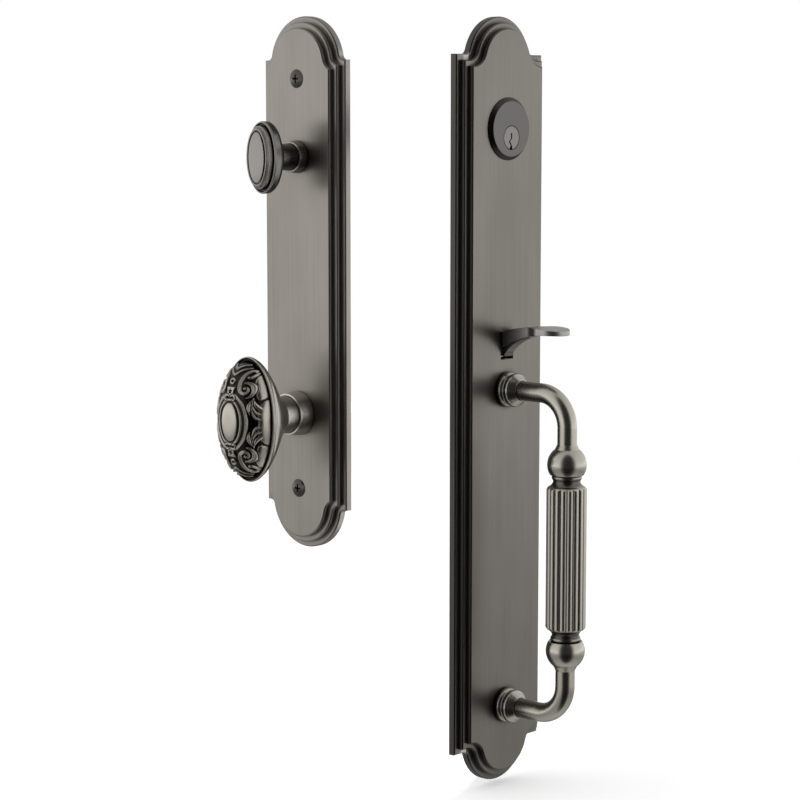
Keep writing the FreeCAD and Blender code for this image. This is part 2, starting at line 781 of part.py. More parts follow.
def barrel_profile():
    """Half of the barrel outline, from the middle up, as (radius, height from the middle)."""
    crest = reed_crest_radius
    seam = seam_from_centre
    flat = reed_half_length
    outside, middle, end = neck_curve
    start = flat + bead_start
    cap = [(crest - inside, flat + beyond) for inside, beyond in cap_profile]
    neck = [((neck_radius + outside, flat + middle), (neck_radius, flat + end)), (neck_radius, flat + neck_end)]
    bead = [(bead_radius - bead_edge, start), ((bead_radius, (start + seam) / 2), (bead_radius - bead_edge, seam))]
    return [(crest, flat - reed_crown)] + cap + neck + bead


def grip_barrel():
    """Reeded bar with a neck and a bead at each end."""
    middle = -grip_length / 2
    centre = V(0, -grip_axis_out, middle)
    upper = barrel_profile()
    steps = [(0, 0), (reed_crest_radius, 0)] + upper + [(0, seam_from_centre)]
    wire = outline(steps, lambda radius, height: V(radius, -grip_axis_out, middle + height))
    half = Part.Face(wire).revolve(centre, V(0, 0, 1), 360)
    solid = half.fuse(half.mirror(centre, V(0, 0, 1)))
    reeds = []
    step = 2 * math.pi / reed_count

    def rim(angle, radius):
        return V(radius * math.cos(angle), radius * math.sin(angle) - grip_axis_out, middle - reed_half_length)

    for number in range(reed_count):
        start = rim(number * step, reed_groove_radius)
        crest = rim((number + 0.5) * step, reed_crest_radius)
        end = rim((number + 1) * step, reed_groove_radius)
        reeds.append(Part.Arc(start, crest, end).toShape())
    reeded = Part.Face(Part.Wire(reeds)).extrude(V(0, 0, 2 * reed_half_length))
    around = 2 * reed_crest_radius
    ends = solid.cut(box(-around, around, -grip_axis_out - around, -grip_axis_out + around,
                         middle - reed_half_length, middle + reed_half_length))
    bar = ends.fuse(solid.common(reeded))
    reach = seam_from_centre + overcut
    bar = bar.cut(rod(tie_rod_radius + fit_gap, V(0, -grip_axis_out, middle - reach),
                      V(0, -grip_axis_out, middle + reach)))
    return bar.removeSplitter()


def grip_tie_rod():
    reach = seam_from_centre + tie_rod_reach - screw_end_gap
    middle = -grip_length / 2
    return rod(tie_rod_radius, V(0, -grip_axis_out, middle - reach), V(0, -grip_axis_out, middle + reach))


def grip_screws():
    screws = []
    under = hollow_out - grip_washer_thickness
    for z in grip_heights():
        head = front_rod(grip_screw_head_radius, under - grip_screw_head_height, under, z=z)
        reach = plate_thickness + grip_screw_reach - screw_end_gap
        screws.append(head.fuse(front_rod(grip_screw_radius, under, reach, z=z)))
    return screws


def grip_washers():
    washers = []
    under = hollow_out - grip_washer_thickness
    for z in grip_heights():
        ring = front_rod(grip_washer_radius, under, hollow_out, z=z)
        washers.append(ring.cut(front_rod(grip_screw_radius, under, hollow_out, z=z)))
    return washers


def inside_plate():
    plate = moulded_plate(inside_face)
    for z in post_heights():
        plate = plate.fuse(front_rod(through_boss_radius, 0, hollow_out, z=z))
    bosses = [front_rod(cassette_boss_radius, cup_front_out, hollow_out, x) for x in cassette_places()]
    for boss in bosses:
        plate = plate.fuse(boss)
    through = plate_thickness + overcut
    for z in post_heights():
        plate = plate.cut(front_rod(through_shank_radius + fit_gap, -overcut, through, z=z))
        plate = plate.cut(screw_head(z, 0.0))
    plate = plate.cut(front_rod(turn_spigot_radius + fit_gap, -overcut, through, z=lock_spacing))
    plate = plate.cut(front_rod(knob_spigot_radius + fit_gap, -overcut, through))
    for x in cassette_places():
        plate = plate.cut(front_rod(cassette_screw_radius, 0, hollow_out + blind_depth, x))
    return plate.removeSplitter()


def screw_head(z, proud):
    """Countersunk head with a domed top that stands proud by the given height."""
    face = plate_thickness
    steps = [(0, face - through_head_depth), (through_shank_radius, face - through_head_depth),
             (through_head_radius, face)]
    if proud:
        shoulder = (through_head_radius * through_head_shoulder, face + through_head_fall * proud)
        steps.append((shoulder, (0, face + proud)))
    else:
        steps.append((0, face))
    return turned(steps, z)


def interior_screws():
    screws = []
    for z in post_heights():
        screw = screw_head(z, through_head_dome)
        shank = front_rod(through_shank_radius, -through_shank_end, plate_thickness - through_head_depth, z=z)
        thread = front_rod(through_screw_radius, -through_screw_end, -through_shank_end, z=z)
        screw = screw.fuse([shank, thread])
        top = plate_thickness + through_head_dome
        for long_x, long_z in ((recess_length, recess_width), (recess_width, recess_length)):
            screw = screw.cut(box(-long_x / 2, long_x / 2, -top - overcut, recess_depth - top,
                                  z - long_z / 2, z + long_z / 2))
        screws.append(screw)
    return screws


def collar_bush(base, front, height, neck, journal, spigot, lip, z):
    """Flanged bush: collar in front of the plate, spigot through it, lip turned over behind."""
    face = plate_thickness
    top = face + height
    shelf = face + bush_shelf
    lip_back = hollow_out - bush_lip
    steps = [(journal, lip_back), (journal, shelf), (neck, shelf), (neck, top), (front - bush_edge, top),
             (front, top - bush_edge), (base, face + bush_foot), (base, face), (spigot, face),
             (spigot, hollow_out), (spigot + lip, hollow_out), (spigot + lip, lip_back)]
    return turned(steps, z)


def turn_collar():
    return collar_bush(turn_collar_base, turn_collar_front, turn_collar_height,
                       turn_neck_radius + 2 * slip, turn_journal_radius + slip,
                       turn_spigot_radius, turn_lip, lock_spacing)


def circlip_outs():
    front = hollow_out - bush_lip - circlip_gap
    return front - circlip_thickness, front


def journal(radius, neck, neck_out, z):
    """Neck inside the collar, journal through the plate and a groove for the circlip."""
    back, front = circlip_outs()
    end = back - journal_end
    waist = radius - circlip_groove
    shelf = plate_thickness + bush_shelf + fit_gap
    steps = [(0, end), (radius, end), (radius, back), (waist, back), (waist, front),
             (radius, front), (radius, shelf), (neck, shelf), (neck, neck_out), (0, neck_out)]
    return turned(steps, z)


def circlip(radius, z):
    back, front = circlip_outs()
    inner = radius - circlip_groove
    outer = inner + circlip_width
    ring = front_rod(outer, back, front, z=z)
    ring = ring.cut(front_rod(inner, back - overcut, front + overcut, z=z))
    half = circlip_opening / 2
    return ring.cut(box(-half, half, -front - overcut, -back + overcut, z - outer - overcut, z))


def turn_knob():
    """Oval turn with stepped rings round a flat centre, on a round neck."""
    face = plate_thickness
    wide = turn_half_width
    tall = turn_half_height
    z = lock_spacing
    rim = face + turn_rim_out
    back = face + turn_back_out
    front = face + turn_face_out
    neck = turn_neck_radius

    def inside(place, sections):
        return [(place + out, wide - across, tall - up) for out, across, up in sections]

    behind, within = turn_foot
    curve = [(back - out, across * wide, up * tall) for out, across, up in turn_shell]
    shell = oval_stack([(back - behind, neck - within, neck)] + curve, z)
    band = oval_stack(curve[-1:] + inside(back, turn_band_back) + inside(rim, turn_band_rim), z)
    rings = oval_stack(inside(back, [(0.0, *turn_step_back)]) + inside(rim, [(0.0, *turn_step_rim)])
                       + inside(front, turn_rings), z)
    disc = oval_stack(inside(back, [(0.0, *turn_disc_back)]) + inside(front, turn_disc), z)
    stem = journal(turn_journal_radius, turn_neck_radius, back - turn_stem_start, z)
    knob = shell.fuse([band, rings, disc, stem])
    end = circlip_outs()[0] - journal_end
    half = tail_width / 2 + 2 * fit_gap
    thin = tail_thickness / 2 + 2 * fit_gap
    socket = box(-thin, thin, -end - turn_socket_depth, -end + overcut, z - half, z + half)
    return knob.cut(socket).removeSplitter()


def knob_collar():
    return collar_bush(knob_collar_base, knob_collar_front, knob_collar_height,
                       knob_shank_radius + 3 * slip, knob_journal_radius + slip,
                       knob_spigot_radius, knob_lip, 0.0)


def knob_back():
    """Back shell of the knob with its shank and journal."""
    face = plate_thickness
    wide = knob_seam_half_width
    tall = knob_seam_half_height
    neck = face + knob_neck_out
    seam = face + knob_seam_out
    span = seam - neck
    shank = knob_shank_radius
    curve = [(neck, shank - 2 * fit_gap, shank - fit_gap)]
    curve += [(neck + along * span, across * wide, up * tall) for along, across, up in knob_shell_curve]
    curve.append((seam, wide - seam_step, tall - seam_step))
    shell = oval_stack(curve, ruled=False)
    inner = [(out + knob_shell, half_width - knob_shell, half_height - knob_shell)
             for out, half_width, half_height in curve]
    shell = shell.cut(oval_stack(inner))
    shank_end = face + spindle_front + knob_shell
    piece = shell.fuse(journal(knob_journal_radius, shank, shank_end, 0.0))
    half = spindle_side / 2
    back = circlip_outs()[0] - journal_end
    piece = piece.cut(box(-half, half, -face - spindle_front, -back + overcut, -half, half))
    piece = piece.cut(set_screw_hole())
    return piece


def set_screw_hole():
    y = -plate_thickness - set_screw_out
    return rod(set_screw_radius, V(0, y, -knob_shank_radius - overcut), V(0, y, -spindle_side / 2))


def spindle_set_screw():
    y = -plate_thickness - set_screw_out
    end = -knob_shank_radius + set_screw_sunk
    screw = rod(set_screw_radius, V(0, y, end), V(0, y, -spindle_side / 2))
    corners = [turn * math.pi / 3 for turn in range(7)]
    hexagon = Part.makePolygon([V(set_screw_key * math.cos(turn), y + set_screw_key * math.sin(turn),
                                  -knob_shank_radius) for turn in corners])
    return screw.cut(Part.Face(Part.Wire(hexagon)).extrude(V(0, 0, set_screw_sunk + set_screw_key_depth)))


def dome_sections(half_width, half_height, height, out):
    """Ovals of the domed front, from its foot up to the outer rim of the boss."""
    power = 2 / knob_dome_power
    sections = []
    for degrees in dome_steps:
        turn = math.radians(degrees)
        share = math.cos(turn) ** power
        sections.append((out + height * math.sin(turn) ** power, half_width * share, half_height * share))
    return sections


def boss_sections(crown):
    """Ovals of the two rims and the boss inside them, going inwards."""
    sections = []
    for half_width, half_height, width, drop in reversed(rim_sizes):
        half = width / 2
        floor = crown - drop - rim_groove_depth
        side = rim_shoulder[0] * half
        fall = crown - drop - rim_shoulder[1] * half
        for inset, out in ((-half, floor), (-side, fall), (0, crown - drop), (side, fall), (half, floor)):
            sections.append((out, half_width - inset, half_height - inset))
    sections.append((floor, boss_half_width + fit_gap, boss_half_height + fit_gap))
    for turn in range(boss_steps):
        angle = math.pi / 2 * turn / boss_steps
        share = math.cos(angle)
        sections.append((crown - boss_edge * (1 - math.sin(angle)), boss_half_width * share,
                         boss_half_height * share))
    return sections


def knob_face():
    """Lip and domed front of the knob with its boss, hollow behind."""
    face = plate_thickness
    wide = knob_half_width
    tall = knob_half_height
    seam = face + knob_seam_out
    rim = face + knob_rim_out
    seam_wide = knob_seam_half_width
    seam_tall = knob_seam_half_height
    bed = rim - knob_groove_depth
    sections = [(seam, seam_wide, seam_tall)]
    for place, steps in ((seam, knob_band_seam), (rim, knob_band_rim)):
        sections += [(place + out, wide - across, tall - up) for out, across, up in steps]
    band = oval_stack(sections)
    groove_wide = wide - knob_lip_width
    groove_tall = tall - knob_lip_width
    band = band.cut(oval_prism(groove_wide, groove_tall, bed, rim + overcut))
    height = knob_dome_height + knob_groove_depth
    field = dome_sections(groove_wide - knob_groove_width, groove_tall - knob_groove_width, height, bed)
    front = band.fuse(oval_stack(field + boss_sections(bed + height)))
    hollow_wide = seam_wide - knob_wall
    hollow_tall = seam_tall - knob_wall
    sections = [(seam, hollow_wide, hollow_tall), (bed, hollow_wide, hollow_tall)]
    sections += [(bed + rise * height, across * hollow_wide, up * hollow_tall) for rise, across, up in knob_hollow]
    return front.cut(oval_stack(sections))


def knob_spindle():
    half = spindle_side / 2
    bar = box(-half, half, -plate_thickness - spindle_front, spindle_end, -half, half)
    corners = [edge for edge in bar.Edges if edge.Length > spindle_end]
    return bar.makeChamfer(spindle_chamfer, corners)


def cassette_places():
    return (-cassette_screw_circle, cassette_screw_circle)


def cup_back():
    return cup_front_out - cup_depth


def spring_cup():
    """Cup that holds the return spring, with two stops for the drive hub."""
    front = cup_front_out
    back = cup_back()
    inner = cup_radius - cup_wall
    cup = front_rod(cup_radius, back, front)
    cup = cup.cut(front_rod(inner, back - overcut, front - cup_wall))
    cup = cup.cut(front_rod(knob_journal_radius + cup_bore_gap, back - overcut, front + overcut))
    low = hub_lug_reach - stop_overlap
    halves = math.degrees(math.atan2(hub_lug_width / 2, low) + math.atan2(stop_width / 2, low))
    for side in (-1, 1):
        stop = box(-stop_width / 2, stop_width / 2, -front + cup_wall, -back, low, inner + cup_wall / 2)
        stop.rotate(V(0, 0, 0), V(0, 1, 0), side * (knob_swing + halves + stop_spare))
        cup = cup.fuse(stop)
    for x in cassette_places():
        cup = cup.cut(front_rod(cassette_screw_radius, back - overcut, front + overcut, x))
    return cup.removeSplitter()


def cassette_cover():
    back = cup_back()
    cover = front_rod(cup_radius, back - cup_wall, back)
    cover = cover.cut(front_rod(hub_radius + fit_gap, back - cup_wall - overcut, back + overcut))
    for x in cassette_places():
        cover = cover.cut(front_rod(cassette_screw_radius, back - cup_wall - overcut, back + overcut, x))
    return cover


def cassette_screws():
    under = cup_back() - cup_wall
    screws = []
    for x in cassette_places():
        head = front_rod(cassette_head_radius, under - cassette_head_height, under, x)
        screws.append(head.fuse(front_rod(cassette_screw_radius, under, hollow_out + blind_depth, x)))
    return screws


def knob_drive_hub():
    """Hub on the square spindle with one lug that winds the spring."""
    front = circlip_outs()[0] - journal_end - fit_gap
    back = cup_back() - cup_wall
    hub = front_rod(hub_radius, back, front)
    lug_back = cup_back() + hub_lug_gap
    lug = box(-hub_lug_width / 2, hub_lug_width / 2, -lug_back - hub_lug_thickness, -lug_back,
              hub_radius - overcut, hub_lug_reach)
    hub = hub.fuse(lug)
    slot = knob_spring_strip / 2 + slip
    hub = hub.cut(box(-slot, slot, -front - overcut, -spring_back(), -hub_radius - overcut,
                      knob_spring_seat - hub_radius))
    half = spindle_side / 2
    return hub.cut(box(-half, half, -front - overcut, -back + overcut, -half, half)).removeSplitter()


def spring_back():
    """Back edge of the return spring, in front of the lug of the hub."""
    return cup_back() + hub_lug_gap + hub_lug_thickness + knob_spring_gap


def knob_return_spring():
    """Flat spiral strip from a slot in the drive hub out to the wall of the cup.

    Half circles about two centres, half a pitch apart, make the spiral."""
    back = spring_back()
    front = back + knob_spring_height
    half = knob_spring_strip / 2
    spring = None
    for count in range(knob_spring_half_turns):
        radius = knob_spring_radius + count * knob_spring_pitch / 2
        side = 1 if count % 2 == 0 else -1
        centre = 0.0 if count % 2 == 0 else -knob_spring_pitch / 2

        def on(size, angle):
            return (side * size * math.sin(angle), centre - side * size * math.cos(angle))

        outer = radius + half
        inner = radius - half
        steps = [on(outer, 0), (on(outer, math.pi / 2), on(outer, math.pi)), on(inner, math.pi),
                 (on(inner, math.pi / 2), on(inner, 0))]
        turn = front_prism(steps, back, front)
        spring = turn if spring is None else spring.fuse(turn)
    last = knob_spring_radius + knob_spring_half_turns * knob_spring_pitch / 2
    wall = math.sqrt((cup_radius - cup_wall) ** 2 - half ** 2)
    spring = spring.fuse(box(-half, half, -front, -back, -knob_spring_radius - half,
                             knob_spring_seat - hub_radius))
    return spring.fuse(box(-half, half, -front, -back, -wall, half - last)).removeSplitter()


def to_inside(shape):
    shape = shape.copy()
    turn = FreeCAD.Placement(V(inside_x, inside_y, inside_z), FreeCAD.Rotation(V(0, 0, 1), inside_turn))
    shape.Placement = turn.multiply(shape.Placement)
    return shape


def save(name, solids, place=lambda shape: shape):
    """Writes one node. Several solids stay separate in one file."""
    if not isinstance(solids, list):
        solids = [solids]
    solids = [place(solid) for solid in solids]
    shape = solids[0] if len(solids) == 1 else Part.makeCompound(solids)
    shape.exportStep("parts/" + name + ".step")
    volume = sum(solid.Volume for solid in solids)
    print(name, len(shape.Solids), "valid" if shape.isValid() else "INVALID", round(volume, 1))


outside_nodes = {
    "exterior_plate": outside_plate,
    "mounting_posts": mounting_posts,
    "cylinder_housing": cylinder_housing,
    "cylinder_nut": cylinder_nut,
    "cylinder_plug": cylinder_plug,
    "plug_cap": plug_cap,
    "cap_screws": cap_screws,
    "deadbolt_tailpiece": deadbolt_tailpiece,
    "thumb_piece": thumb_piece,
    "lift_tail": lift_tail,
    "tail_rivets": tail_rivets,
    "thumb_pivot_pin": thumb_pivot_pin,
    "thumb_bracket": thumb_bracket,
    "bracket_screws": bracket_screws,
    "thumb_spring": thumb_spring,
    "grip_upper_arm": grip_upper_arm,
    "grip_lower_arm": lambda: mirror_grip(grip_upper_arm()),
    "grip_barrel": grip_barrel,
    "grip_tie_rod": grip_tie_rod,
    "upper_rosette": lambda: rosette(0.0),
    "lower_rosette": lambda: rosette(-grip_length),
    "grip_screws": grip_screws,
    "grip_washers": grip_washers,
}

inside_nodes = {
    "interior_plate": inside_plate,
    "interior_screws": interior_screws,
    "turn_collar": turn_collar,
    "turn_knob": turn_knob,
    "turn_circlip": lambda: circlip(turn_journal_radius, lock_spacing),
    "knob_collar": knob_collar,
    "knob_back": knob_back,
    "knob_face": knob_face,
    "knob_spindle": knob_spindle,
    "spindle_set_screw": spindle_set_screw,
    "knob_circlip": lambda: circlip(knob_journal_radius, 0.0),
    "spring_cup": spring_cup,
    "cassette_cover": cassette_cover,
    "cassette_screws": cassette_screws,
    "knob_drive_hub": knob_drive_hub,
    "knob_return_spring": knob_return_spring,
}

for name, build in outside_nodes.items():
    save(name, build())

for name, build in inside_nodes.items():
    save(name, build(), to_inside)
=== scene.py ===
import json
import math

import bpy
import numpy as np
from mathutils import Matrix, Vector


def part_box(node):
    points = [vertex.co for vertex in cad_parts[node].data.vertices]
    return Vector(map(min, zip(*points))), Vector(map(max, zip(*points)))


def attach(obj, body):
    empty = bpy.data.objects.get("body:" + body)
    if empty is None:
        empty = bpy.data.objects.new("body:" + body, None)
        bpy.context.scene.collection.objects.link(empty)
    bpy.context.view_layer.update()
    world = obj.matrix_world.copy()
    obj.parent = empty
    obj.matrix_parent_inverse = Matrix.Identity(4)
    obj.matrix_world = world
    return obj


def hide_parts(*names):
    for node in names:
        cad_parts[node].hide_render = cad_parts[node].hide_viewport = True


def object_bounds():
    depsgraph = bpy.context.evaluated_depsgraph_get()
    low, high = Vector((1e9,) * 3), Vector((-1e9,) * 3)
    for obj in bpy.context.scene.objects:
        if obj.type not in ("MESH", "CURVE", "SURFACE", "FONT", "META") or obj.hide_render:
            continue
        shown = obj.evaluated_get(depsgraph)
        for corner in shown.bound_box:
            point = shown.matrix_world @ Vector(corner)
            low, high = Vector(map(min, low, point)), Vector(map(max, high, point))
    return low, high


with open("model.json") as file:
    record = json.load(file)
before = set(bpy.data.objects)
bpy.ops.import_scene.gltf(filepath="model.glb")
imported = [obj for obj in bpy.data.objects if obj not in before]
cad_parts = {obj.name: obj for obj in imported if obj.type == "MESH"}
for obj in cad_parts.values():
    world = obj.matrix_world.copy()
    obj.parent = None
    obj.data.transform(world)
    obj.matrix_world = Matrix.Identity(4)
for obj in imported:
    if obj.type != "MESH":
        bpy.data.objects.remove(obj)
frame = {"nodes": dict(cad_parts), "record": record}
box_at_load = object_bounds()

# Entry door handleset in antique pewter. The outside half faces -Y, the inside half faces -X.
MM = 0.001
OUTSIDE = (0.0, -1.0, 0.0)
INSIDE = (-1.0, 0.0, 0.0)
UPWARD = (0.0, 0.0, 1.0)
WHITE = (1.0, 1.0, 1.0, 1.0)

# Camera of the photograph, in metres, degrees and millimetres of film
CAMERA_PLACE = (-0.9764, -0.8350, 0.1564)
CAMERA_HEADING = 47.218
CAMERA_PITCH = 7.243
CAMERA_LENS = 107.19
SENSOR = 36.0
CLIP = (0.01, 100.0)

# Light of the studio, as stops of (how far a place lies along the direction, from -1 to 1, and level).
# The dim side is behind the camera, and height counts for little in what lies toward it.
STUDIO_POWER = 1.9
DIM_SIDE = (-0.70, -0.714, 0.0)
DIM_FLATNESS = 0.35
LIGHT_BY_SIDE = [(-1.0, 0.5), (-0.6, 1.0), (0.64, 1.0), (0.82, 0.03)]
LIGHT_BY_HEIGHT = [(-1.0, 0.45), (-0.40, 0.26), (-0.22, 0.42), (-0.11, 0.90), (-0.06, 1.0), (-0.01, 1.0),
                   (0.04, 0.78), (0.14, 0.72), (0.60, 0.60), (1.0, 0.45)]

# Soft card between the halves, in metres and watts
CARD_SIZE = (0.09, 0.42)
CARD_PLACE = (0.012, 0.015, 0.0)
CARD_FACING = (-0.45, 0.89, 0.0)
CARD_POWER = 0.25

# Floor below the object, in metres
FLOOR_RADIUS = 1.1
FLOOR_SIDES = 96
FLOOR_DROP = 0.002
FLOOR_COLOR = (0.93, 0.93, 0.93, 1.0)
FLOOR_ROUGHNESS = 0.9
FLOOR_SPECULAR = 0.1
FLOOR_GLOW = 0.35


# Helpers for nodes

# Sockets of the Mix node that carry colours
MIX_FACTOR = 0
MIX_FIRST = 6
MIX_SECOND = 7
MIX_RESULT = 2


def nodes_of(owner):
    owner.use_nodes = True
    tree = owner.node_tree
    tree.nodes.clear()
    return tree


def add(tree, kind, **settings):
    node = tree.nodes.new(kind)
    for name, value in settings.items():
        setattr(node, name, value)
    return node


def grey(level):
    return (level, level, level, 1.0)


def light_ramp(tree, value, stops):
    """Grey over a value, from stops as (place, level)."""
    node = add(tree, "ShaderNodeValToRGB")
    elements = node.color_ramp.elements
    for index in (0, -1):
        elements[index].position = stops[index][0]
        elements[index].color = grey(stops[index][1])
    for place, level in stops[1:-1]:
        elements.new(place).color = grey(level)
    tree.links.new(value, node.inputs[0])
    return node.outputs[0]


def change(tree, value, span, first, last=1.0):
    """Grey that goes from a first to a last level over a span of the value."""
    return light_ramp(tree, value, [(span[0], first), (span[1], last)])


def mix_color(tree, factor, first, second, blend="MIX"):
    node = add(tree, "ShaderNodeMix", data_type="RGBA", blend_type=blend)
    for index, value in ((MIX_FACTOR, factor), (MIX_FIRST, first), (MIX_SECOND, second)):
        if isinstance(value, (int, float, tuple)):
            node.inputs[index].default_value = value
        else:
            tree.links.new(value, node.inputs[index])
    return node.outputs[MIX_RESULT]


def times(tree, first, second):
    return mix_color(tree, 1.0, first, second, "MULTIPLY")


def streaks(tree, scale, detail):
    """Noise stretched along one direction, from the scale along each axis, per metre."""
    place = add(tree, "ShaderNodeTexCoord")
    mapping = add(tree, "ShaderNodeMapping")
    mapping.inputs["Scale"].default_value = scale
    noise = add(tree, "ShaderNodeTexNoise")
    noise.inputs["Scale"].default_value = 1.0
    noise.inputs["Detail"].default_value = detail
    tree.links.new(place.outputs["Object"], mapping.inputs["Vector"])
    tree.links.new(mapping.outputs["Vector"], noise.inputs["Vector"])
    return noise.outputs["Fac"]


def openness(tree, distance, span, least):
    """Light left in corners, by how open the surface is within a distance."""
    corner = add(tree, "ShaderNodeAmbientOcclusion", samples=CORNER_SAMPLES)
    corner.inputs["Distance"].default_value = distance
    return change(tree, corner.outputs["AO"], span, least)


def along(tree, vector, direction):
    """How far a vector points along a direction."""
    dot = add(tree, "ShaderNodeVectorMath", operation="DOT_PRODUCT")
    dot.inputs[1].default_value = direction
    tree.links.new(vector, dot.inputs[0])
    return dot.outputs["Value"]


def toward(tree, direction, span, least):
    """Light left on surfaces by how squarely they face a direction of their own body."""
    place = add(tree, "ShaderNodeTexCoord")
    return change(tree, along(tree, place.outputs["Normal"], direction), span, least)


def spread_over(tree, value, low, high):
    """A value on a scale from 0 at its low end to 1 at its high end."""
    spread = add(tree, "ShaderNodeMapRange")
    spread.inputs["From Min"].default_value = low
    spread.inputs["From Max"].default_value = high
    tree.links.new(value, spread.inputs["Value"])
    return spread.outputs[0]


def at_height(tree, stops):
    """Light left along the height of a piece, from stops as (height in metres, level)."""
    place = add(tree, "ShaderNodeTexCoord")
    parts = add(tree, "ShaderNodeSeparateXYZ")
    tree.links.new(place.outputs["Object"], parts.inputs[0])
    low, high = stops[0][0], stops[-1][0]
    share = spread_over(tree, parts.outputs["Z"], low, high)
    return light_ramp(tree, share, [((height - low) / (high - low), level) for height, level in stops])


# Finishes of the metal, with patina, painted shade and painted highlights

# Scale of the brushing along each axis, per metre: long streaks up a plate, and a short grain elsewhere
LONG = (1500.0, 1500.0, 10.0)
CROSS = (500.0, 500.0, 260.0)
STREAK_DETAIL = 3.0
CLOUD_SCALE = (38.0, 38.0, 14.0)
CLOUD_DETAIL = 4.0
RIDGE_DEPTH = 0.0001
ROUGHNESS_SPREAD = (-0.02, 0.04)
CORNER_SAMPLES = 8
EDGE_SAMPLES = 4

# Spans of noise, openness, facing and relief over which the light changes
STREAK_SPAN = (0.28, 0.72)
CLOUD_SPAN = (0.3, 0.7)
SHADE_SPAN = (0.25, 0.80)
SIDE_SPAN = (0.10, 0.80)
CORNER_SPAN = (0.35, 0.85)
FRONT_SPAN = (0.70, 0.97)
RELIEF_SPAN = (0.15, 0.60)
EDGE_SPAN = (0.86, 0.985)
EDGE_SHARE = 0.8

# Painted light and shade from either end of the barrel inward, as (metres from the end, level): bead,
# painted shade in the dark neck, reeds
BARREL_PAINTED_SHADE = [(0.0, 0.7), (0.0016, 0.7), (0.0022, 0.28), (0.0052, 0.28), (0.0066, 1.0)]

# Painted light and shade from the dark foot of the thumb piece up, as (metres from the foot, level)
THUMB_FOOT_PAINTED_SHADE = [(0.0, 0.20), (0.0013, 0.20), (0.0030, 0.75)]


def painted_edge_highlights(tree, bevel):
    """Normal rounded over the edges, and how much of the painted highlight colour they take."""
    rounded = add(tree, "ShaderNodeBevel", samples=EDGE_SAMPLES)
    rounded.inputs["Radius"].default_value = bevel
    true_normal = add(tree, "ShaderNodeNewGeometry")
    agree = add(tree, "ShaderNodeVectorMath", operation="DOT_PRODUCT")
    tree.links.new(rounded.outputs[0], agree.inputs[0])
    tree.links.new(true_normal.outputs["Normal"], agree.inputs[1])
    return rounded.outputs[0], change(tree, agree.outputs["Value"], EDGE_SPAN, EDGE_SHARE, 0.0)


def pewter(name, color, dark, bright, roughness, brush, reach, bevel, front=None, relief=False, wide=0.016,
           fade=0.45, grain=0.97, patch=0.95, ridges=0.02, sides=1.0, painted_light_by_height=None):
    """Plated metal, brushed along one direction, with patina and painted shade in its corners and painted
    highlights on its edges.

    The dark colour, patina deepened into painted shade, goes as far as reach from a corner, and the painted
    highlight colour as far as bevel from an edge.
    With front, what faces away from that direction is dark too: the finish left dark off the brushed face,
    with painted shade on those sides. With relief, what lies low in it is dark: patina and painted shade on
    the ground.
    A softer painted shade goes as far as wide and leaves the share fade of the light. The shares grain,
    patch and sides are left between streaks, in clouds and on sides turned away from the inside half's
    front, the last as painted shade. Belts of painted light and shade may run along the height.
    """
    material = bpy.data.materials.new(name)
    tree = nodes_of(material)
    out = add(tree, "ShaderNodeOutputMaterial")
    shader = add(tree, "ShaderNodeBsdfPrincipled")
    tree.links.new(shader.outputs[0], out.inputs[0])
    shader.inputs["Metallic"].default_value = 1.0

    fine = streaks(tree, brush, STREAK_DETAIL)
    cloud = streaks(tree, CLOUD_SCALE, CLOUD_DETAIL)
    texture = times(tree, change(tree, fine, STREAK_SPAN, grain), change(tree, cloud, CLOUD_SPAN, patch))
    body = times(tree, texture, (*color, 1.0))
    # Painted shade near other surfaces, as far as wide
    body = times(tree, body, openness(tree, wide, SHADE_SPAN, fade))
    # Painted shade on sides turned away from the inside half's front
    if sides < 1.0:
        body = times(tree, body, toward(tree, INSIDE, SIDE_SPAN, sides))
    # Painted light and shade along the height
    if painted_light_by_height:
        body = times(tree, body, at_height(tree, painted_light_by_height))

    # Dark colour in corners: patina in the hollows, deepened into painted shade
    patina_and_shade = openness(tree, reach, CORNER_SPAN, 0.0)
    # Sides turned away from the front: the finish left dark off the brushed face, with painted shade on
    # them
    if front:
        patina_and_shade = times(tree, patina_and_shade, toward(tree, front, FRONT_SPAN, 0.0))
    # Low ground of the ornament: patina and painted shade
    if relief:
        height = add(tree, "ShaderNodeAttribute", attribute_name="relief")
        patina_and_shade = times(tree, patina_and_shade, change(tree, height.outputs["Fac"], RELIEF_SPAN, 0.0))
    shaded = mix_color(tree, patina_and_shade, (*dark, 1.0), body)

    # Painted highlights on the edges
    rounded, edge = painted_edge_highlights(tree, bevel)
    finish = mix_color(tree, times(tree, edge, patina_and_shade), shaded, (*bright, 1.0))
    tree.links.new(finish, shader.inputs["Base Color"])

    rough = add(tree, "ShaderNodeMapRange")
    rough.inputs["To Min"].default_value = roughness + ROUGHNESS_SPREAD[0]
    rough.inputs["To Max"].default_value = roughness + ROUGHNESS_SPREAD[1]
    tree.links.new(fine, rough.inputs["Value"])
    tree.links.new(rough.outputs[0], shader.inputs["Roughness"])

    bump = add(tree, "ShaderNodeBump")
    bump.inputs["Strength"].default_value = ridges
    bump.inputs["Distance"].default_value = RIDGE_DEPTH
    tree.links.new(fine, bump.inputs["Height"])
    tree.links.new(rounded, bump.inputs["Normal"])
    tree.links.new(bump.outputs[0], shader.inputs["Normal"])
    return material


def barrel_painted_shade():
    """Painted light and shade along the barrel, the same from both of its ends."""
    low, high = (corner[2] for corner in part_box("grip_barrel"))
    return ([(low + place, level) for place, level in BARREL_PAINTED_SHADE]
            + [(high - place, level) for place, level in reversed(BARREL_PAINTED_SHADE)])


def thumb_painted_shade():
    """Painted light and shade along the height of the thumb piece."""
    low, high = (corner[2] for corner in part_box("thumb_piece"))
    return [(low + place, level) for place, level in THUMB_FOOT_PAINTED_SHADE] + [(high, 1.0)]
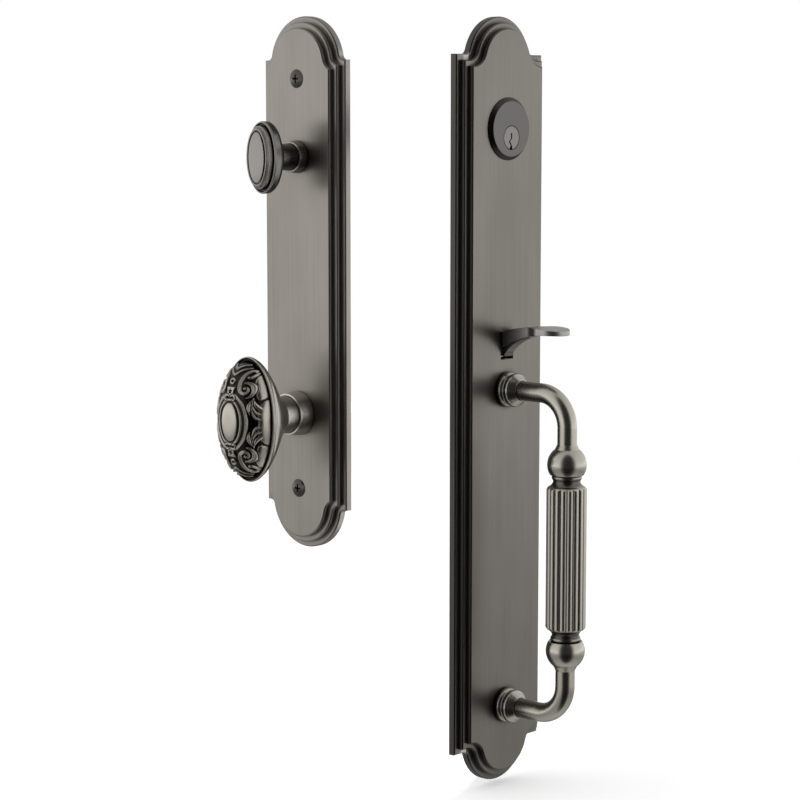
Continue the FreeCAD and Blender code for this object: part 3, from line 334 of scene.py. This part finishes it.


# Each finish by its colour, its dark corners of patina and painted shade, and its painted highlights on the
# edges. Some are lighter or darker copies of one pewter, as painted light and shade.

plate_finish = pewter("pewter_brushed", (0.184, 0.171, 0.154), (0.060, 0.056, 0.050), (0.22, 0.21, 0.19),
                      roughness=0.34, brush=LONG, reach=0.0040, bevel=0.0005, front=OUTSIDE,
                      grain=0.82, patch=0.86, ridges=0.08)
# Lighter copy of the outside plate's pewter: painted light on the inside half
inside_painted_light_finish = pewter("pewter_brushed_painted_light", (0.258, 0.241, 0.217), (0.165, 0.152, 0.138),
                       (0.30, 0.28, 0.26), roughness=0.34, brush=LONG, reach=0.0040, bevel=0.0005,
                       front=INSIDE, grain=0.82, patch=0.86, ridges=0.08)
trim_finish = pewter("pewter_polished", (0.37, 0.350, 0.308), (0.016, 0.014, 0.011), (0.46, 0.44, 0.39),
                     roughness=0.26, brush=CROSS, reach=0.0030, bevel=0.0004, grain=0.99, ridges=0.008)
barrel_finish = pewter("pewter_reeded", (0.40, 0.380, 0.335), (0.012, 0.011, 0.010), (0.50, 0.48, 0.43),
                       roughness=0.28, brush=CROSS, reach=0.0022, bevel=0.0004, wide=0.006, fade=0.12,
                       ridges=0.008, painted_light_by_height=barrel_painted_shade())
# Lighter copy of the trim's pewter: painted light on the back of the knob
knob_back_painted_light_finish = pewter("pewter_knob_back_painted_light", (0.42, 0.395, 0.355), (0.016, 0.014, 0.011),
                          (0.50, 0.47, 0.42), roughness=0.30, brush=CROSS, reach=0.0014, bevel=0.0004,
                          fade=0.75)
thumb_finish = pewter("pewter_thumb", (0.34, 0.325, 0.305), (0.016, 0.014, 0.011), (0.48, 0.46, 0.43),
                      roughness=0.38, brush=CROSS, reach=0.0020, bevel=0.0006, fade=0.95,
                      painted_light_by_height=thumb_painted_shade())
# Darker copy of the trim's pewter, with painted shade on its sides
turn_painted_shade_finish = pewter("pewter_turn_painted_shade", (0.215, 0.205, 0.190), (0.016, 0.013, 0.010), (0.48, 0.46, 0.42),
                     roughness=0.28, brush=CROSS, reach=0.0018, bevel=0.0004, fade=0.75, sides=0.62)
knob_finish = pewter("pewter_ornament", (0.36, 0.335, 0.297), (0.020, 0.018, 0.015), (0.66, 0.62, 0.56),
                     roughness=0.30, brush=CROSS, reach=0.0010, bevel=0.0002, relief=True, wide=0.004,
                     fade=0.7)
# Lighter copy of the trim's pewter: painted light on the collar, which the studio leaves dim
collar_painted_light_finish = pewter("pewter_collar_painted_light", (0.66, 0.62, 0.56), (0.016, 0.014, 0.011), (0.62, 0.58, 0.52),
                       roughness=0.30, brush=CROSS, reach=0.0014, bevel=0.0004, fade=0.8)
cylinder_finish = pewter("pewter_satin", (0.108, 0.104, 0.099), (0.045, 0.037, 0.035), (0.16, 0.155, 0.145),
                         roughness=0.34, brush=CROSS, reach=0.0022, bevel=0.0003, front=OUTSIDE)
plug_finish = pewter("pewter_plug", (0.170, 0.163, 0.152), (0.008, 0.007, 0.006), (0.24, 0.23, 0.21),
                     roughness=0.32, brush=CROSS, reach=0.0012, bevel=0.0002, front=OUTSIDE)
screw_finish = pewter("screw_dark", (0.062, 0.058, 0.052), (0.002, 0.002, 0.002), (0.26, 0.25, 0.23),
                      roughness=0.22, brush=CROSS, reach=0.0032, bevel=0.0003)
steel_finish = pewter("steel_plated", (0.55, 0.55, 0.53), (0.05, 0.05, 0.05), (0.70, 0.70, 0.69),
                      roughness=0.30, brush=CROSS, reach=0.0040, bevel=0.0003)
spring_finish = pewter("steel_spring", (0.28, 0.28, 0.29), (0.03, 0.03, 0.03), (0.50, 0.50, 0.51),
                       roughness=0.28, brush=CROSS, reach=0.0030, bevel=0.0002)

SLOT_FINISHES = {"pewter_plate": plate_finish, "pewter_trim": trim_finish,
                 "cylinder_metal": cylinder_finish, "dark_screws": screw_finish, "steel": steel_finish,
                 "spring_steel": spring_finish}
NODE_FINISHES = {"interior_plate": inside_painted_light_finish, "cylinder_plug": plug_finish,
                 "thumb_piece": thumb_finish, "turn_knob": turn_painted_shade_finish, "grip_barrel": barrel_finish,
                 "knob_back": knob_back_painted_light_finish, "knob_collar": collar_painted_light_finish}

for part in frame["record"]["subparts"]:
    slot_finish = SLOT_FINISHES[part["material_slot"]]
    materials = frame["nodes"][part["node"]].data.materials
    materials.clear()
    materials.append(NODE_FINISHES.get(part["node"], slot_finish))


def new_piece(name, points, faces, material):
    mesh = bpy.data.meshes.new(name)
    mesh.from_pydata(points, [], faces)
    mesh.update()
    mesh.materials.append(material)
    piece = bpy.data.objects.new(name, mesh)
    bpy.context.scene.collection.objects.link(piece)
    return piece


# Ornament of the knob, in millimetres as seen from the front: across and up from its centre.
# One quarter is drawn, and the others mirror it. Heights go from 0 at the ground to 1.

# Lines of the strokes, as points of (across, up, half width)
LEAF_BACK = [(11.8, 27.2, 0.3), (14.4, 23.0, 0.9), (16.2, 17.8, 0.8), (17.3, 12.4, 0.5)]
LEAF = [(11.4, 25.4, 0.3), (13.0, 22.3, 1.2), (14.7, 18.3, 1.6), (15.7, 14.9, 1.45), (15.9, 13.0, 0.9)]
STALK = [(13.5, 13.4, 0.3), (13.5, 10.8, 0.6), (13.3, 8.0, 0.65), (13.9, 5.2, 0.5), (15.0, 3.4, 0.3)]
FINGERS = [[(13.9, 12.1, 0.2), (14.8, 9.7, 0.8), (16.2, 7.9, 0.9), (17.8, 7.1, 0.8)],
           [(13.7, 9.2, 0.25), (14.4, 6.9, 0.65), (15.5, 5.2, 0.75), (17.9, 4.3, 0.65)],
           [(13.6, 7.0, 0.25), (14.4, 4.2, 0.6), (15.7, 2.4, 0.65), (17.9, 1.7, 0.6)]]
FAN_FOOT = [(17.0, 12.6, 0.3), (17.2, 10.4, 0.9), (17.3, 7.4, 1.5), (17.35, 4.0, 1.7), (17.45, 1.0, 1.4),
            (17.5, -1.0, 1.3)]
BUD = [(12.9, 12.3, 0.15), (12.0, 9.7, 0.95), (11.9, 7.6, 1.0), (12.6, 4.8, 0.15)]
RIBBONS = [[(-0.3, 25.2, 0.6), (1.9, 26.4, 0.7), (3.9, 27.8, 0.7), (5.9, 28.5, 0.5), (7.4, 28.9, 0.2)],
           [(-0.3, 28.3, 0.65), (1.8, 29.5, 0.7), (3.9, 30.3, 0.5), (5.4, 30.6, 0.2)]]
OUTER_SCROLL = [(7.9, 21.3, 0.3), (9.8, 21.3, 0.8), (11.8, 20.1, 1.05), (12.8, 17.9, 1.1),
                (12.8, 15.9, 1.0), (11.9, 14.2, 0.8), (10.3, 13.4, 0.3)]
SCROLL = [(10.4, 26.6, 0.3), (8.6, 27.3, 0.75), (6.9, 26.0, 0.95), (5.8, 23.6, 1.1), (5.35, 21.0, 1.15),
          (5.5, 18.5, 1.15), (6.6, 16.6, 1.1), (8.4, 15.7, 1.0), (10.0, 16.3, 0.9), (10.5, 17.6, 0.75),
          (9.8, 18.8, 0.65), (8.6, 18.7, 0.55)]
HOOK = [(10.6, 26.4, 0.6), (10.5, 25.0, 0.75), (9.6, 24.0, 0.7), (8.6, 24.3, 0.55)]
CREST_CURL = [(0.5, 13.9, 0.5), (1.7, 14.5, 0.7), (3.2, 14.1, 0.75), (3.7, 12.7, 0.7), (2.8, 11.7, 0.65),
              (1.9, 12.4, 0.55)]

# Strokes below and above the foot of the fan, as (line, height, depth of groove, curve of the section)
FOLIAGE = [(LEAF_BACK, 0.6, 0.0, 0.6), (LEAF, 0.92, 0.0, 0.6), (STALK, 0.75, 0.0, 0.5),
           *((finger, 0.92, 0.0, 0.55) for finger in FINGERS)]
SCROLLWORK = [(BUD, 0.95, 0.35, 0.5), *((ribbon, 0.85, 0.35, 0.4) for ribbon in RIBBONS),
              (OUTER_SCROLL, 0.9, 0.3, 0.45), (SCROLL, 1.0, 0.3, 0.45), (HOOK, 0.9, 0.0, 0.45)]

# Rings, as (half across, half up, half width, height)
OUTER_RIM = (11.15, 15.0, 0.95, 0.9)
INNER_RIM = (8.05, 12.1, 0.72, 0.92)
EYELET = (1.45, 1.25, 0.6, 0.8)

# Places and sizes of the other forms
CENTRE = (0.0, 0.0)
EYELET_CENTRE = (0.0, 22.0)
SCROLL_EYE = 0.95
SCROLL_EYE_CENTRE = (8.6, 18.4)
BOSS = (5.95, 10.3)
BOSS_HALF_SIZE = 6
BOSS_ROUNDING = 0.3
BOSS_POWER = 8
CREST_CENTRE = 16.4
CREST_HALF_HEIGHT = 2.5
CREST_WAIST = 2.15
CREST_WAIST_CENTRE = 16.2
CREST_FLARE = 0.22
CREST_FLARE_POWER = 1.5
CREST_WIDEST = 2.9
CREST_HALF_SIZE = 2
CREST_TOP = 0.9
CREST_ROUNDING = 0.15
CREST_POWER = 4
STAR_CENTRE = 16.5
STAR_RADIUS = 1.2
STAR_PETALS = 5
STAR_PETAL = 0.32
STAR_FLOOR = 0.15
STAR_RISE = 0.5
STAR_POWER = 4

# Widths of the dark moats round the forms, and the curve of their sides
MOAT = 0.28
RING_MOAT = 0.25
CURL_MOAT = 0.2
BOSS_MOAT = 0.3
MOAT_CURVE = 0.7

# Sections of the forms. A groove is as wide as its share of the form's own width.
RING_CURVE = 0.45
RING_GROOVE = 0.35
STROKE_GROOVE = 0.3
LEAST_HEIGHT = 0.1
LEAST_HALF_WIDTH = 0.05
FAR_OUTSIDE = 9.0


def curve_through(points, count=12):
    """Smooth line through points, each with its half width as a third number."""
    points = [np.array(point, dtype=float) for point in points]
    points = [2 * points[0] - points[1]] + points + [2 * points[-1] - points[-2]]
    line = []
    for before, start, end, after in zip(points, points[1:], points[2:], points[3:]):
        for step in range(count):
            t = step / count
            line.append(0.5 * (2 * start + (end - before) * t
                               + (2 * before - 5 * start + 4 * end - after) * t ** 2
                               + (3 * start - before - 3 * end + after) * t ** 3))
    line.append(points[-2])
    return np.array(line)


def from_edge(share, half_size):
    """Share of the way to a form's edge, and outside it 1 plus the distance in millimetres."""
    return np.where(share < 1, share, 1 + (share - 1) * half_size)


def domed(inside, top, curve):
    """Rounded section of a form, from its top in the middle down to its edge."""
    return top * np.clip(1 - inside ** 2, 0, 1) ** curve


def layer(height, inside, value, moat):
    """Lay a form over what lies below it, with a dark moat cut round it."""
    rim = np.clip((inside - 1) / moat, 0, 1)
    below = np.where(inside < 1, 0.0, height * rim ** MOAT_CURVE)
    return np.where(inside < 1, np.maximum(value, LEAST_HEIGHT), np.where(rim < 1, below, height))


def stroke(height, grid, points, top, groove=0.0, curve=0.5, moat=MOAT):
    """Rounded band along a smooth line. A groove runs down its middle."""
    across, up = grid
    line = curve_through(points)
    reach = line[:, 2].max() * (1 + moat) + moat
    low = line[:, :2].min(axis=0) - reach
    high = line[:, :2].max(axis=0) + reach
    near = (across > low[0]) & (across < high[0]) & (up > low[1]) & (up < high[1])
    x, z = across[near], up[near]
    inside = np.full_like(x, FAR_OUTSIDE)
    for start, end in zip(line, line[1:]):
        run = end[:2] - start[:2]
        length = max(float(run @ run), 1e-9)
        t = np.clip(((x - start[0]) * run[0] + (z - start[1]) * run[1]) / length, 0, 1)
        distance = np.hypot(x - start[0] - t * run[0], z - start[1] - t * run[1])
        width = np.maximum(start[2] + t * (end[2] - start[2]), LEAST_HALF_WIDTH)
        share = np.where(distance < width, distance / width, 1 + distance - width)
        inside = np.minimum(inside, share)
    value = domed(inside, top, curve) - groove * np.clip(1 - inside / STROKE_GROOVE, 0, 1)
    result = height.copy()
    result[near] = layer(height[near], inside, value, moat)
    return result


def bead(height, grid, radius, centre):
    across, up = grid[0] - centre[0], grid[1] - centre[1]
    share = np.hypot(across / radius, up / radius)
    return layer(height, from_edge(share, radius), domed(share, top=1.0, curve=0.5), MOAT)


def ring(height, grid, size, centre=CENTRE, groove=0.0):
    half_across, half_up, half_width, top = size
    across, up = grid[0] - centre[0], grid[1] - centre[1]
    spread = np.maximum(np.hypot(across / half_across, up / half_up), 1e-3)
    slope = np.hypot(across / half_across ** 2, up / half_up ** 2) / spread
    distance = np.abs(spread - 1) / np.maximum(slope, 1e-4)
    inside = np.where(distance < half_width, distance / half_width, 1 + distance - half_width)
    value = domed(inside, top, RING_CURVE) - groove * np.clip(1 - inside / RING_GROOVE, 0, 1)
    return layer(height, inside, value, RING_MOAT)


def crest_plate(height, grid):
    """Small plate with a waist, crowned a little, and a five-petalled hole in it."""
    across, up = grid
    waist = CREST_WAIST + CREST_FLARE * np.abs(up - CREST_WAIST_CENTRE) ** CREST_FLARE_POWER
    plate = np.maximum(across / np.clip(waist, CREST_WAIST, CREST_WIDEST),
                       np.abs(up - CREST_CENTRE) / CREST_HALF_HEIGHT)
    value = CREST_TOP - CREST_ROUNDING * plate ** CREST_POWER
    height = layer(height, from_edge(plate, CREST_HALF_SIZE), value, MOAT)
    around = np.arctan2(up - STAR_CENTRE, across)
    radius = STAR_RADIUS + STAR_PETAL * np.cos(STAR_PETALS * around - math.pi / 2)
    star = np.hypot(across, up - STAR_CENTRE) / radius
    hole = STAR_FLOOR + STAR_RISE * star ** STAR_POWER
    return np.where(star < 1, np.minimum(height, hole), height)


def boss(height, grid):
    """Smooth oval in the middle, nearly flat and rounded down at its edge."""
    share = np.hypot(grid[0] / BOSS[0], grid[1] / BOSS[1])
    value = 1.0 - BOSS_ROUNDING * share ** BOSS_POWER
    return layer(height, from_edge(share, BOSS_HALF_SIZE), value, BOSS_MOAT)


def ornament(across, up):
    """Height of the relief at places seen from the front. Each form lies over the ones before it."""
    grid = (np.abs(across), np.abs(up))
    height = np.zeros_like(across)
    for line, top, groove, curve in FOLIAGE:
        height = stroke(height, grid, line, top, groove, curve)
    fan_foot = stroke(np.zeros_like(height), grid, FAN_FOOT, top=0.97, curve=0.8)
    height = np.maximum(height, fan_foot)
    for line, top, groove, curve in SCROLLWORK:
        height = stroke(height, grid, line, top, groove, curve)
    height = bead(height, grid, SCROLL_EYE, SCROLL_EYE_CENTRE)
    height = ring(height, grid, EYELET, EYELET_CENTRE)
    height = ring(height, grid, OUTER_RIM, groove=0.3)
    height = crest_plate(height, grid)
    height = ring(height, grid, INNER_RIM)
    height = stroke(height, grid, CREST_CURL, top=1.0, curve=0.45, moat=CURL_MOAT)
    return boss(height, grid)


# Face of the knob, in millimetres from its axis and out from the door, as in the frame's knob_face
DOME_HALF_WIDTH = 18.2
DOME_HALF_HEIGHT = 32.4
DOME_RISE = 16.2
DOME_POWER = 2.4
RELIEF = 1.25
PLATE = 10.0
RIM_OUT = PLATE + 38.1
SEAM_OUT = PLATE + 30.6
BED_OUT = RIM_OUT - 1.7

# Sections of the rim, as (out, half width, half height), from the foot of the dome to the seam
GROOVE_PROFILE = [(BED_OUT, 18.25, 32.45), (BED_OUT, 18.8, 33.0), (BED_OUT + 0.15, 18.95, 33.15),
                  (RIM_OUT - 0.4, 18.95, 33.15)]
LIP_PROFILE = [(RIM_OUT - 0.1, 19.05, 33.25), (RIM_OUT, 19.25, 33.45), (RIM_OUT - 0.06, 19.45, 33.65),
               (RIM_OUT - 0.3, 19.62, 33.82)]
BAND_PROFILE = [(RIM_OUT - 0.75, 19.7, 33.9), (RIM_OUT - 1.3, 19.69, 33.89), (SEAM_OUT + 5.7, 19.6, 33.8),
                (SEAM_OUT + 5.3, 19.35, 33.45), (SEAM_OUT + 4.9, 19.14, 33.15),
                (SEAM_OUT + 4.2, 19.08, 32.9), (SEAM_OUT + 3.4, 19.05, 32.5), (SEAM_OUT + 2.6, 18.93, 31.8),
                (SEAM_OUT + 1.9, 18.7, 30.9), (SEAM_OUT + 1.2, 18.52, 30.0), (SEAM_OUT + 0.5, 18.3, 29.1),
                (SEAM_OUT + 0.15, 18.15, 28.6), (SEAM_OUT, 17.9, 28.2), (SEAM_OUT, 15.0, 25.3),
                (BED_OUT - 1.0, 15.0, 25.3)]

# Heights that the rim's sections have for the finish, from 0 for dark to 1 for bright: patina and painted
# shade in the groove, and painted shade on the band
RIM_SHADE_LEVELS = [(GROOVE_PROFILE, 0.0), (LIP_PROFILE, 1.0), (BAND_PROFILE, 0.44)]

# Rings of the skin. A few cover the smooth boss, as far as its share of the dome's width, and the relief
# fades out over the last ones. Even spacing is worked out from many small steps.
AROUND = 576
BOSS_SHARE = 0.30
BOSS_RINGS = 10
FIELD_RINGS = 138
FADE_RINGS = 6
SHARE_STEPS = 4001
TURN_STEPS = 8001

# Where the knob stands in the frame, in metres, and how far its crown may reach
SPINDLE_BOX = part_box("knob_spindle")
KNOB_Y = (SPINDLE_BOX[0][1] + SPINDLE_BOX[1][1]) / 2
KNOB_Z = (SPINDLE_BOX[0][2] + SPINDLE_BOX[1][2]) / 2
INSIDE_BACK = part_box("interior_plate")[1][0]
CROWN = (INSIDE_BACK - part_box("knob_face")[0][0]) / MM


def knob_place(across, out, up):
    """Points in the frame, in metres, from millimetres in the knob's own frame."""
    return np.stack([INSIDE_BACK - np.minimum(out, CROWN) * MM, KNOB_Y - np.asarray(across) * MM,
                     KNOB_Z + np.asarray(up) * MM], axis=-1)


def dome_out(share):
    return DOME_RISE * np.clip(1 - share ** DOME_POWER, 0, 1) ** (1 / DOME_POWER)


def even_steps(fine, runs, count, endpoint):
    """Values spaced evenly by the runs between the fine ones."""
    distance = np.concatenate([[0], np.cumsum(runs)])
    return np.interp(np.linspace(0, distance[-1], count, endpoint=endpoint), distance, fine)


def even_shares(start, end, count):
    """Shares of the dome's width after the start, spaced evenly along its curve."""
    if end == 1:
        # Finer toward the rim, where the dome falls steeply
        fine = 1 - np.linspace(1 - start, 0, SHARE_STEPS) ** 2 / (1 - start)
    else:
        fine = np.linspace(start, end, SHARE_STEPS)
    width = (DOME_HALF_WIDTH + DOME_HALF_HEIGHT) / 2
    runs = np.hypot(np.diff(fine) * width, np.diff(dome_out(fine)))
    return even_steps(fine, runs, count + 1, endpoint=True)[1:]


def even_turns(count):
    """Angles spaced evenly round the dome's oval."""
    fine = np.linspace(0, 2 * math.pi, TURN_STEPS)
    runs = np.hypot(np.diff(np.sin(fine)) * DOME_HALF_WIDTH, np.diff(np.cos(fine)) * DOME_HALF_HEIGHT)
    return even_steps(fine, runs, count, endpoint=False)


def carved_dome(side, top):
    """Rings of the dome with the relief cut into it, from the crown out, and the relief's heights."""
    shares = np.concatenate([even_shares(0.0, BOSS_SHARE, BOSS_RINGS),
                             even_shares(BOSS_SHARE, 1, FIELD_RINGS)])
    across = np.outer(shares, side) * DOME_HALF_WIDTH
    up = np.outer(shares, top) * DOME_HALF_HEIGHT
    out = np.outer(dome_out(shares), np.ones(AROUND))
    fade = np.clip((1 - shares) / (1 - shares[-FADE_RINGS]), 0, 1)[:, None]
    height = ornament(across, up) * fade
    outward = (out / DOME_RISE) ** (DOME_POWER - 1) / DOME_RISE
    slope = np.outer(shares ** (DOME_POWER - 1), np.ones(AROUND))
    normal = np.stack([slope * side / DOME_HALF_WIDTH, outward, slope * top / DOME_HALF_HEIGHT])
    normal /= np.linalg.norm(normal, axis=0)
    lift = RELIEF * (height - 1.0)
    rings = knob_place(across + lift * normal[0], BED_OUT + np.maximum(out + lift * normal[1], 0.0),
                       up + lift * normal[2])
    return rings, height


def skin_faces(point_count):
    """Faces between rings of points, closed by a fan to the first point and one to the last."""
    last_ring = point_count - 1 - AROUND
    faces = []
    for index in range(AROUND):
        following = (index + 1) % AROUND
        faces.append((0, 1 + following, 1 + index))
        for low in range(1, last_ring, AROUND):
            faces.append((low + index, low + following, low + AROUND + following, low + AROUND + index))
        faces.append((last_ring + index, last_ring + following, point_count - 1))
    return faces


def knob_ornament():
    """Domed front with its relief, groove, lip and band, as one skin of oval rings."""
    turns = even_turns(AROUND)
    side, top = np.sin(turns), np.cos(turns)
    points = [tuple(knob_place(0.0, BED_OUT + DOME_RISE, 0.0))]
    relief = [1.0]
    for dome_ring, heights in zip(*carved_dome(side, top)):
        points.extend(dome_ring.tolist())
        relief.extend(heights.tolist())
    for profile, level in RIM_SHADE_LEVELS:
        for out, half_width, half_height in profile:
            points.extend(knob_place(half_width * side, np.full(AROUND, out), half_height * top).tolist())
            relief.extend([level] * AROUND)
    points.append(tuple(knob_place(0.0, BAND_PROFILE[-1][0], 0.0)))
    relief.append(0.0)
    piece = new_piece("knob_ornament", points, skin_faces(len(points)), knob_finish)
    # The relief heights also set the finish: patina and painted shade where they lie low
    attribute = piece.data.attributes.new("relief", "FLOAT", "POINT")
    attribute.data.foreach_set("value", relief)
    piece.data.shade_smooth()
    return piece


face = knob_ornament()
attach(face, "knob")
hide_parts("knob_face")


# Lip at the foot of the bracket's window, in metres from the bracket's middle, front and foot.
# It closes the view through the slot under the thumb piece, and its dark finish is painted shade in the
# slot.
LIP_HALF_WIDTH = 0.0062
LIP_DEPTH = (0.0007, 0.0011)
LIP_HEIGHT = (0.0023, 0.00385)
LIP_EDGE = 0.00012
LIP_EDGE_SEGMENTS = 2
BLOCK_FACES = [(0, 1, 3, 2), (4, 6, 7, 5), (0, 4, 5, 1), (2, 3, 7, 6), (0, 2, 6, 4), (1, 5, 7, 3)]


def bracket_lip():
    low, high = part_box("thumb_bracket")
    middle = (low[0] + high[0]) / 2
    corners = [(middle + side * LIP_HALF_WIDTH, low[1] + depth, low[2] + height)
               for side in (-1, 1) for depth in LIP_DEPTH for height in LIP_HEIGHT]
    # Dark screw finish here as painted shade in the slot
    piece = new_piece("thumb_bracket_lip", corners, BLOCK_FACES, screw_finish)
    bevel = piece.modifiers.new("edges", "BEVEL")
    bevel.width = LIP_EDGE
    bevel.segments = LIP_EDGE_SEGMENTS
    return piece


lip = bracket_lip()
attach(lip, "fixed")


# Floor, light and camera

def floor_finish():
    material = bpy.data.materials.new("floor_pale")
    tree = nodes_of(material)
    out = add(tree, "ShaderNodeOutputMaterial")
    shader = add(tree, "ShaderNodeBsdfPrincipled")
    for name, value in (("Base Color", FLOOR_COLOR), ("Roughness", FLOOR_ROUGHNESS),
                        ("Specular IOR Level", FLOOR_SPECULAR), ("Emission Color", WHITE),
                        ("Emission Strength", FLOOR_GLOW)):
        shader.inputs[name].default_value = value
    tree.links.new(shader.outputs[0], out.inputs[0])
    return material


def floor():
    """Pale disc under the object, which no reflection shows."""
    height = box_at_load[0][2] - FLOOR_DROP
    turns = [2 * math.pi * step / FLOOR_SIDES for step in range(FLOOR_SIDES)]
    rim = [(FLOOR_RADIUS * math.cos(turn), FLOOR_RADIUS * math.sin(turn), height) for turn in turns]
    piece = new_piece("floor", rim, [range(FLOOR_SIDES)], floor_finish())
    piece.visible_glossy = False


def light_card():
    """Soft card that lights the side of the inside half that the other half shades."""
    data = bpy.data.lights.new("card", "AREA")
    data.shape = "RECTANGLE"
    data.size, data.size_y = CARD_SIZE
    data.energy = CARD_POWER
    card = bpy.data.objects.new("card", data)
    card.location = CARD_PLACE
    card.rotation_euler = Vector(CARD_FACING).to_track_quat("-Z", "Y").to_euler()
    card.visible_camera = False
    bpy.context.scene.collection.objects.link(card)


def by_direction(tree, place, direction, stops):
    """Light by how far a place on the sky lies along a direction, from -1 to 1."""
    share = spread_over(tree, along(tree, place, direction), -1.0, 1.0)
    return light_ramp(tree, share, [((value + 1) / 2, level) for value, level in stops])


def studio():
    """White backdrop, with soft boxes to both sides and a dim room behind the camera."""
    scene = bpy.context.scene
    scene.world = bpy.data.worlds.new("studio")
    tree = nodes_of(scene.world)
    out = add(tree, "ShaderNodeOutputWorld")
    place = add(tree, "ShaderNodeTexCoord").outputs["Generated"]
    flattened = add(tree, "ShaderNodeVectorMath", operation="MULTIPLY")
    flattened.inputs[1].default_value = (1.0, 1.0, DIM_FLATNESS)
    tree.links.new(place, flattened.inputs[0])
    unit = add(tree, "ShaderNodeVectorMath", operation="NORMALIZE")
    tree.links.new(flattened.outputs[0], unit.inputs[0])
    sideways = by_direction(tree, unit.outputs[0], DIM_SIDE, LIGHT_BY_SIDE)
    upright = by_direction(tree, place, UPWARD, LIGHT_BY_HEIGHT)
    room = add(tree, "ShaderNodeBackground")
    room.inputs["Strength"].default_value = STUDIO_POWER
    tree.links.new(times(tree, sideways, upright), room.inputs["Color"])
    white = add(tree, "ShaderNodeBackground")
    white.inputs["Color"].default_value = WHITE
    seen = add(tree, "ShaderNodeLightPath").outputs["Is Camera Ray"]
    both = add(tree, "ShaderNodeMixShader")
    for source, target in ((seen, both.inputs[0]), (room.outputs[0], both.inputs[1]),
                           (white.outputs[0], both.inputs[2]), (both.outputs[0], out.inputs[0])):
        tree.links.new(source, target)
    scene.view_settings.view_transform = "Standard"


def camera():
    data = bpy.data.cameras.new("camera")
    data.lens = CAMERA_LENS
    data.sensor_width = SENSOR
    data.sensor_fit = "HORIZONTAL"
    data.clip_start, data.clip_end = CLIP
    view = bpy.data.objects.new("camera", data)
    view.location = CAMERA_PLACE
    view.rotation_euler = (math.radians(90 - CAMERA_PITCH), 0.0, math.radians(-CAMERA_HEADING))
    bpy.context.scene.collection.objects.link(view)
    bpy.context.scene.camera = view


floor()
studio()
light_card()
camera()
